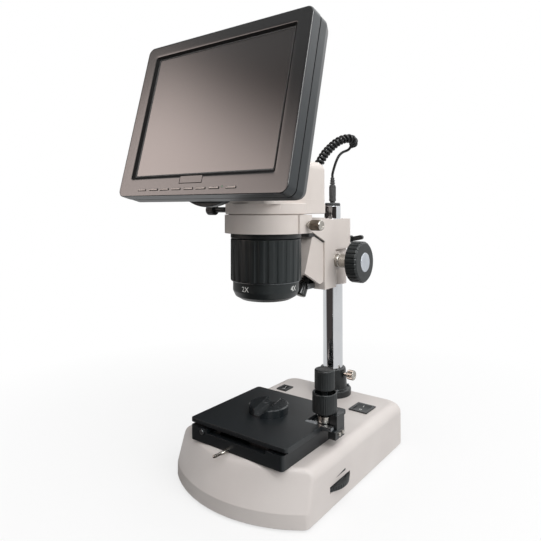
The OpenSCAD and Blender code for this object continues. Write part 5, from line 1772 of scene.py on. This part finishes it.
@dataclass
class Head(Assembly):
    """Head: neck, round-fronted plate, upright body, gland, bracket and lock knob."""

    axis_y: float = LENS_Y
    half_w: float = 35.0
    front: float = -92.0
    back: float = 12.0
    plate_r: float = 41.3
    plate_corner: float = 7.0
    plate: tuple[float, float] = (269.4, 280.4)
    neck: Line = (
        (0, 240.5), (20, 240.5), (20, 245.4), (35.4, 245.4), (36, 245.9), (36, 250.6), (38, 250.9),
        (38, 270.4), (0, 270.4),
    )
    top: float = 325.0
    edge: float = 9.0
    lip: tuple[float, float] = (283.2, 284.0)
    gland_at: tuple[float, float, float] = (4.0, 0.0, 300.0)
    gland_line: Line = (
        (0, 9), (3, 9), (3, 12), (6, 12), (6, 13.4), (5.4, 14), (4.4, 14), (4.4, 14.8), (4.1, 15.1),
        (4.1, 15.6), (4.4, 15.9), (4.3, 16.6), (4.0, 16.9), (4.0, 17.2), (3.9, 18), (1.7, 18), (0, 18),
    )
    lock: tuple[float, float] = (-74.0, 273.8)  # y, z
    lock_hole: float = 2.85
    lock_stem: tuple[float, float, float] = (2.8, 27.95, 49.2)
    lock_head: Line = (
        (0, 48.95), (4.9, 48.95), (5.6, 49.7), (5.6, 58.2), (5.0, 58.95), (3.4, 58.95), (3.1, 58.5),
        (0, 58.5),
    )

    def plate_outline(self, inset: np.ndarray) -> np.ndarray:
        """Outline of the plate: an arc of radius R round the front, straight sides, round back corners.

        The arc runs from the angle acos(w / R) clockwise past the front to its mirror.

        Args:
            inset: how far each row is drawn in.

        Returns:
            Points of shape (rows, points, 2).
        """
        inset, c = inset[:, None], self.plate_corner
        r, hw, back = self.plate_r - inset, self.half_w - inset, self.back - inset
        meet = np.arccos(np.clip(hw / r, -1, 1))
        arc = -np.pi / 2 + (meet + np.pi / 2) * np.linspace(0, 1, 41)[None]
        bow = np.stack([r * np.cos(arc), self.axis_y + r * np.sin(arc)], -1)
        a = np.pi / 2 * np.linspace(0, 1, 7)[None]
        corner = np.stack([hw - c + c * np.cos(a), back - c + c * np.sin(a)], -1)
        half = np.concatenate([bow, corner], axis=1)
        return np.concatenate([half, half[:, ::-1][:, :-1] * np.array([-1.0, 1.0])], axis=1)

    def box_outline(self, inset: np.ndarray) -> np.ndarray:
        """Outline of the upright body, drawn in by each row's inset."""
        half_d, middle = (self.back - self.front) / 2, (self.front + self.back) / 2
        return rounded_rect(self.half_w - inset, half_d - inset, self.edge, (0, middle), 8)

    def body(self) -> None:
        """Plate, upright body with a rounded crown, neck and spigot as one casting."""
        low, high = self.plate
        line = eased([[0.8, low], [0, low + 0.7], [0, high - 0.6], [0.6, high]], 0.4)
        surface = stacked(self.plate_outline(line[:, 0]), line[:, 1])
        t = np.linspace(0, np.pi / 2, 9)
        inset = np.concatenate([[0, 0], self.edge * (1 - np.cos(t))])
        crown = self.top - self.edge
        z = np.concatenate([[high - 1, crown - 1], crown + self.edge * np.sin(t)])
        surface += stacked(self.box_outline(inset), z)
        surface += turned(eased(self.neck, 0.3), 128).placed(Matrix.Translation((0, self.axis_y, 0)))
        y, z0 = self.lock
        tools = rod(self.lock_hole, (-45, y, z0), (-26, y, z0))
        piece = self.add(
            "head_casting", surface, CREAM, "head", "cream_casting", ("head_housing",), 34, tools,
        )
        two_tone(
            piece, BLACK_PAINT,
            lambda c: (c[:, 2] < 250.8) & (np.hypot(c[:, 0], c[:, 1] - self.axis_y) > 19),
        )

    def seam(self) -> None:
        """Cover joint low on the body: a fine raised lip all round, and four cap screws."""
        low, high = self.lip
        line = eased([[-0.12, low], [-0.12, high], [0.6, high], [0.6, low]], 0.08, 2, True)
        lip = stacked(self.box_outline(line[:, 0]), line[:, 1], (False, False), True)
        self.add("cover_lip", lip, CREAM, "head", "cream_casting")
        profile = eased([[0, -0.6], [2.6, -0.6], [2.6, 0.9], [1.5, 0.9], [1.4, 0.2], [0, 0.2]], 0.2)
        screw = turned(profile, 32)
        turn = Matrix.Rotation(-math.pi / 2, 4, "X")
        spots = [(x, self.back, z) for x in (-25, 25) for z in (289, 314)]
        screws = joined(screw.placed(Matrix.Translation(spot) @ turn) for spot in spots)
        self.add("cover_screws", screws, STEEL, "head", "dark_steel")

    def gland(self) -> None:
        """Cord gland: a flange, and a sleeve with shallow rings, on the back."""
        place = Matrix.Translation(self.gland_at) @ Matrix.Rotation(-math.pi / 2, 4, "X")
        boot = turned(eased(self.gland_line, 0.25), 48).placed(place)
        self.add("gland_boot", boot, RUBBER, "head", "rubber_black", ("cord_gland",))

    def lock_knob(self) -> None:
        """Fluted lock knob on the plate's left side."""
        place = Matrix.Translation((0, *self.lock)) @ Matrix.Rotation(-math.pi / 2, 4, "Y")
        knob = fluted(self.lock_stem, self.lock_head, 20, 0.5, (50.2, 57.6), 10).placed(place)
        self.add("lock_knob", knob, PHENOLIC, "head_screw", "black_grip", ("side_lock_knob",))

    def make(self) -> None:
        """Makes the head and finishes its bracket and camera."""
        self.body()
        self.seam()
        self.gland()
        self.lock_knob()
        self.soften("hinge_bracket", BLACK_PAINT, "head", "black_casting", 0.6)
        self.soften("camera_module", BOARD, "head", "board_green", 0.3)


@dataclass
class Drum(Assembly):
    """Turret with wide ribs, printed 2X and 4X, and four lenses."""

    axis_y: float = LENS_Y
    line: Line = (
        (0, 184), (25, 184), (31, 187.5), (33.6, 193), (33.6, 202.4), (34.9, 203), (35.6, 203.0),
        (36.0, 203.6), (36.0, 244.5), (35.5, 245), (20.06, 245), (20.06, 240.6), (0, 240.6),
    )
    collar_r: float = 33.6
    ribs: int = 24
    rib_z: tuple[float, float] = (203.9, 240.6)
    lens_at: float = 15.0
    lens_r: float = 8.0
    glass_r: float = 7.2
    barrel: Line = (
        (7.25, 190.2), (7.6, 189.2), (9.4, 189.1), (9.5, 189.4), (9.5, 232.4), (7.25, 232.6), (7.25, 200),
    )
    mark_foot: float = 194.4
    mark_tall: float = 4.9
    mark_relief: tuple[float, float] = (0.09, -0.12)  # its face and its back, over the collar

    def lens_spots(self) -> list[tuple[float, float]]:
        """Where the lenses stand: right, back, left and front of the axis."""
        turns = (0, math.pi / 2, math.pi, -math.pi / 2)
        return [(self.lens_at * math.cos(a), self.axis_y + self.lens_at * math.sin(a)) for a in turns]

    def shell(self) -> None:
        """Ribbed body, smooth collar and tapered nose, turned, with four lens holes."""
        surface = turned(eased(self.line, 0.5, 3), self.ribs * 16, self.rib_cut)
        surface = surface.placed(Matrix.Translation((0, self.axis_y, 0)))
        tools = joined(rod(self.lens_r, (x, y, 180), (x, y, 188.5), sides=64) for x, y in self.lens_spots())
        self.add("turret", surface, TURRET, "drum", "drum_black", ("magnification_drum",), 30, tools)

    def rib_cut(self, profile: np.ndarray, angle: np.ndarray) -> np.ndarray:
        """Grooves on the ribbed part's outer wall."""
        return grooves(self.ribs, 1.4, *self.rib_z, -0.25, 4.0)(profile, angle) * (profile[:, 0:1] > 34.5)

    def edge_line(self) -> None:
        """Bright turned edge under the ribs: a thin ring."""
        line = eased([[33.5, 202.5], [34.95, 202.5], [34.95, 202.95], [33.5, 202.95]], 0.12, 2, True)
        ring = turned(line, 192, closed=True).placed(Matrix.Translation((0, self.axis_y, 0)))
        self.add("turret_edge", ring, STEEL, "drum", "dark_steel")

    def mark(self, text: str, degrees: float) -> None:
        """Printed number wrapped on the collar.

        A letter's point (x, y) goes to the angle x / R round the collar and the height y.

        Args:
            text: the number.
            degrees: where its middle is, 0 on the right and -90 in front.
        """
        curve = bpy.data.curves.new("mark", "FONT")
        curve.body, curve.size, curve.align_x = text, 1.0, "CENTER"
        curve.extrude, curve.resolution_u = 0.02, 4
        shape = bpy.data.objects.new("mark", curve)
        bpy.context.scene.collection.objects.link(shape)
        mesh = bpy.data.meshes.new_from_object(shape.evaluated_get(bpy.context.evaluated_depsgraph_get()))
        bpy.data.objects.remove(shape)
        flat = np.zeros(len(mesh.vertices) * 3, np.float32)
        mesh.vertices.foreach_get("co", flat)
        x, y, z = flat.reshape(-1, 3).astype(float).T
        scale = self.mark_tall / (y.max() - y.min())
        angle = math.radians(degrees) + x * scale / self.collar_r
        radius = self.collar_r + np.where(z > 0, *self.mark_relief)
        points = np.stack(
            [radius * np.cos(angle), self.axis_y + radius * np.sin(angle), self.mark_foot + y * scale], -1
        )
        mesh.vertices.foreach_set("co", (points * MM).astype(np.float32).ravel())
        self.dress(new_object(f"mark_{text}", mended(mesh, slivers=False)), INK_WHITE, "drum", "drum_black")

    def lenses(self) -> None:
        """Barrels with a front ring and a coated front glass, each a shallow dome."""
        t, r = np.linspace(0, np.pi / 2, 9), self.glass_r
        dome = np.stack([r * np.sin(t), 191.2 - 1.1 * np.cos(t)], -1)
        glass = turned(np.concatenate([dome, [[r, 192.4], [0, 192.4]]]), 64)
        places = [Matrix.Translation((x, y, 0)) for x, y in self.lens_spots()]
        barrel = turned(eased(self.barrel, 0.2, 2, True), 64, closed=True)
        barrels = joined(barrel.placed(place) for place in places)
        self.add("lens_barrels", barrels, STEEL, "drum", "lens_metal", ("objectives",))
        glasses = joined(glass.placed(place) for place in places)
        self.add("lens_glasses", glasses, LENS, "drum", "window_glass")

    def make(self) -> None:
        """Makes the turret."""
        self.shell()
        self.edge_line()
        self.mark("2X", -90)
        self.mark("4X", 0)
        self.lenses()


@dataclass
class Monitor(Assembly):
    """Tilting screen: bezel, panel, keys, receiver window and back shell.

    Its own frame has u to the right, v up the screen and w out of the screen.
    """

    middle: tuple[float, float, float] = (0.0, -137.8, 366.0)
    lean: float = 14.5
    half: tuple[float, float] = (100.0, 79.25)
    low: float = -2.75  # how far the outer frame's middle is under the picture's
    view: tuple[float, float] = (83.0, 62.25)
    corner: float = 7.0
    keys_u: tuple = (-65.9, -49.5, -35.1, -20.0, -4.7, 10.0, 25.4, 43.9)
    key_v: float = -76.0
    key_half: float = 5.5
    window: tuple = ((-18.0, -71.2), (10.0, -63.7))  # two corners, u and v
    indicator_uv: tuple[float, float] = (34.0, -75.0)
    back: Line = (
        (1.2, -12.0), (0.9, -12.5), (0.3, -12.9), (0.3, -22), (2.5, -28.5), (4.2, -31.4), (7.2, -33.0),
    )
    tilt_axis: tuple[float, float] = TILT_YZ
    lug_half: float = 9.7

    def place(self) -> Matrix:
        """Matrix from the screen's own frame."""
        return Matrix.Translation(self.middle) @ Matrix.Rotation(math.radians(90 - self.lean), 4, "X")

    def own(self, centres: np.ndarray) -> np.ndarray:
        """Turns points into the screen's own frame: rows u, v and w."""
        m = np.array(self.place().inverted())
        return (centres @ m[:3, :3].T + m[:3, 3]).T

    def front(self) -> None:
        """Bezel: a section carried round the screen, mixing the outer and the opening's outline.

        A row's outline is m times the opening's plus 1 - m times the outer one, so that the
        face is wider below the screen than above it.
        """
        rows = [
            # mix, inset, height
            [0, 2.4, -12.0], [0, 0.8, -12.0], [0, 0.8, -11.4], [0, 0, -11.2], [0, 0, -1.1], [0, 0.15, -0.5],
            [0, 0.5, -0.15], [0, 1.1, 0.0], [0.5, 0, 0.0], [0.80, 0, 0.0], [0.86, 0, -0.25], [0.97, 0, -1.6],
            [1.0, 0.0, -2.1], [1.0, 0, -3.0], [1.0, -3.8, -3.0], [1.0, -3.8, -12.0],
        ]
        mix, inset, height = eased(rows, 0.3, 2, True).T
        hw = (1 - mix) * self.half[0] + mix * self.view[0] - inset
        hh = (1 - mix) * self.half[1] + mix * self.view[1] - inset
        r = np.maximum((1 - mix) * self.corner + mix * 1.2 - inset * 0.8, 0.6)
        centre = np.stack([np.zeros_like(mix), (1 - mix) * self.low], -1)
        surface = stacked(rounded_rect(hw, hh, r, centre, 8), height, (False, False), True)
        place = self.place()
        (left, foot), (right, top) = self.window
        tools = box_surface((left, foot, -1.5), (right, top, 2))
        hu, hv = self.key_half + 0.2, 1.05
        for u in self.keys_u:
            tools += box_surface((u - hu, self.key_v - hv, -11), (u + hu, self.key_v + hv, 2), 0.2)
        piece = self.add(
            "bezel_frame", surface.placed(place), BEZEL, "monitor", "bezel_black", ("monitor_bezel",), 30,
            tools.placed(place),
        )
        # Painted shade: the opening's walls are coloured matt black.
        two_tone(piece, PAINTED_SHADE, self.recessed)
        two_tone(piece, SHELL, self.flank)
        # Painted shade along the seam: the bezel's rear edge is coloured matt black.
        two_tone(piece, PAINTED_SHADE, lambda c: self.own(c)[2] < -11.05)

    def flank(self, centres: np.ndarray) -> np.ndarray:
        """Faces of the outer sides, behind the rounded edge."""
        u, v, w = self.own(centres)
        return (w < -1.0) & ((np.abs(u) > self.view[0] + 6) | (np.abs(v - self.low) > self.view[1] + 13))

    def recessed(self, centres: np.ndarray) -> np.ndarray:
        """Faces of the opening's walls, which get painted shade: inside the picture's edge + 2 mm and under
        the front.
        """
        u, v, w = self.own(centres)
        return (np.abs(u) < self.view[0] + 2) & (np.abs(v) < self.view[1] + 2) & (w < -0.1)

    def panel(self) -> None:
        """LCD panel: a slab with eased edges, and a dark gasket round the picture."""
        hw, hh = self.view
        inset, height = eased([[0.6, -9.0], [0, -8.4], [0, -3.35], [0.35, -3.02]], 0.2).T
        slab = stacked(rounded_rect(hw + 3.4 - inset, hh + 3.4 - inset, 1.0), height).placed(self.place())
        self.add("picture_panel", slab, LCD, "monitor", "screen_glass", ("lcd_panel",))
        inset, height = eased([[0.05, -3.02], [1.3, -3.02], [1.3, -2.75], [0.05, -2.45]], 0.08, 2, True).T
        gasket = stacked(rounded_rect(hw - inset, hh - inset, 1.0), height, (False, False), True)
        self.add("picture_gasket", gasket.placed(self.place()), RUBBER, "monitor", "bezel_black")

    def shell(self) -> None:
        """Back shell: outlines that draw in towards the back, with air slots and screw wells.

        The upper row of slots is whole, and the lower one leaves its middle out.
        """
        inset, height = eased(self.back, 0.9).T
        r = np.maximum(self.corner - inset * 0.15, 4)
        rings = rounded_rect(self.half[0] - inset, self.half[1] - inset, r, (0, self.low), 8)
        surface = stacked(rings, height).placed(self.place())
        row = np.arange(-52, 53, 6.5)
        slots = [box_surface((u - 1, 35, -36), (u + 1, 53, -31.2), 0.9) for u in row]
        slots += [box_surface((u - 1, -64, -36), (u + 1, -52, -31.2), 0.9) for u in row if abs(u) > 24]
        slots += [
            rod(2.1, (u, v, -36), (u, v, -31.0), sides=32) for u in (-37.5, 37.5) for v in (-25.0, 20.0)
        ]
        tools = joined(slots).placed(self.place())
        piece = self.add("shell_back", surface, SHELL, "monitor", "case_black", ("monitor_back",), 30, tools)
        # Painted shade along the seam: the shell's front edge, inside the bezel, is coloured matt black.
        two_tone(piece, PAINTED_SHADE, lambda c: self.own(c)[2] > -12.85)

    def lug(self) -> None:
        """Lug on the back that turns on the bracket's pin."""
        (y, z), half = self.tilt_axis, self.lug_half
        lug = box_surface((-half, y - 20, z - 6), (half, y, z + 6), 1.0)
        lug += rod(7, (-half, y, z), (half, y, z), 0.6, 64)
        hole = rod(3.06, (-11, y, z), (11, y, z))
        self.add("tilt_lug", lug, BLACK_PAINT, "monitor", "case_black", cutters=hole)

    def pod(self) -> None:
        """Shallow pod under the lug: a bowed outline carried backwards.

        Its underside is z0 + h ((x - m) / w) ^ 2 between the ends m - w and m + w, and the
        outline is drawn towards its middle at both ends.
        """
        y, z = self.tilt_axis
        mid, half = -11.0, 24.0
        x = mid + half * np.linspace(-1, 1, 25)
        under = np.stack([x, z - 23.6 + 6.0 * ((x - mid) / half) ** 2], -1)
        over = np.array([[mid + half, z - 8], [mid - half, z - 8]])
        outline = np.concatenate([under, over])
        steps = np.array([-25.0, -24.6, -23.6, -16.4, -15.6, -15.2])
        pull = np.array([0.90, 0.965, 1.0, 1.0, 0.965, 0.90])
        centre = np.array([mid, z - 14])
        rings = centre + (outline - centre)[None] * pull[:, None, None]
        depth = np.broadcast_to((y + steps)[:, None], rings.shape[:2])
        grid = np.stack([rings[..., 0], depth, rings[..., 1]], -1)
        self.add("tilt_pod", grid_surface(grid, ends=(True, True)), SHELL, "monitor", "case_black")

    def screws(self) -> None:
        """Four pan-head screws near the back's corners."""
        head = turned(eased([[0, -1.2], [2.9, -1.2], [2.9, 0.0], [1.6, 0.9], [0, 1.1]], 0.4), 32)
        flip = Matrix.Rotation(math.pi, 4, "X")
        spots = [Matrix.Translation((u, v, -32.4)) for u in (-84, 84) for v in (-66, 60)]
        heads = joined(head.placed(self.place() @ spot @ flip) for spot in spots)
        self.add("back_screws", heads, STEEL, "monitor", "dark_steel")

    def keys(self) -> None:
        """Eight keys with rounded tops on a wider foot, and the lamp beside the last."""
        v, half = self.key_v, self.key_half
        for number, u in enumerate(self.keys_u, 1):
            key = box_surface((u - half, v - 0.85, -4.4), (u + half, v + 0.85, 0.6), 0.3)
            key += box_surface((u - half, v - 0.9, -5.4), (u + half, v + 0.9, -4.3), 0.2)
            name, body, node = f"key_cap_{number}", f"button_{number}", f"key_{number}"
            piece = self.add(name, key.placed(self.place()), KEYS, body, "key_black", (node,))
            # Painted shadow: the key's lower and right-hand edges are coloured matt black.
            two_tone(piece, PAINTED_SHADE, functools.partial(self.shaded, u))
        lens = turned(eased([[0, -0.4], [0.9, -0.4], [0.9, 0.1], [0.5, 0.35], [0, 0.4]], 0.15), 24)
        spot = self.place() @ Matrix.Translation((*self.indicator_uv, 0))
        self.add("indicator", lens.placed(spot), INDICATOR, "monitor", "smoked_window")

    def shaded(self, u: float, centres: np.ndarray) -> np.ndarray:
        """Faces of the lower and right-hand edge of the key at u, which get painted shadow."""
        across, up, _ = self.own(centres)
        return (up < self.key_v - 0.5) | (across > u + 5.15)

    def receiver(self) -> None:
        """Smoked window with a crowned face, set in the bezel."""
        low, high = np.array(self.window)
        hu, hv = (high - low) / 2
        inset, height = eased([[0.1, -1.5], [0.1, -0.25], [0.7, 0.0]], 0.2).T
        rings = rounded_rect(hu - inset, hv - inset, 0.5, (low + high) / 2)
        pane = stacked(rings, height).placed(self.place())
        piece = self.add("receiver_window", pane, SMOKED, "monitor", "smoked_window", ("ir_window",))
        # Painted shade round the window: its sides and the outer part of its bevel are coloured matt black.
        two_tone(piece, PAINTED_SHADE, lambda c: self.own(c)[2] < -0.04)

    def make(self) -> None:
        """Makes the monitor."""
        self.front()
        self.panel()
        self.shell()
        self.lug()
        self.pod()
        self.screws()
        self.keys()
        self.receiver()


def main() -> None:
    logging.basicConfig(level=logging.INFO, format="%(message)s")
    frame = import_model()
    Studio().make()
    for part in (CurlyCord, Base, Stage, StageKnobs, Pillar, FocusArm, Carriage, Head, Drum, Monitor):
        LOG.info("making %s", part.__name__)
        part(frame).make()


if __name__ == "__main__":
    main()
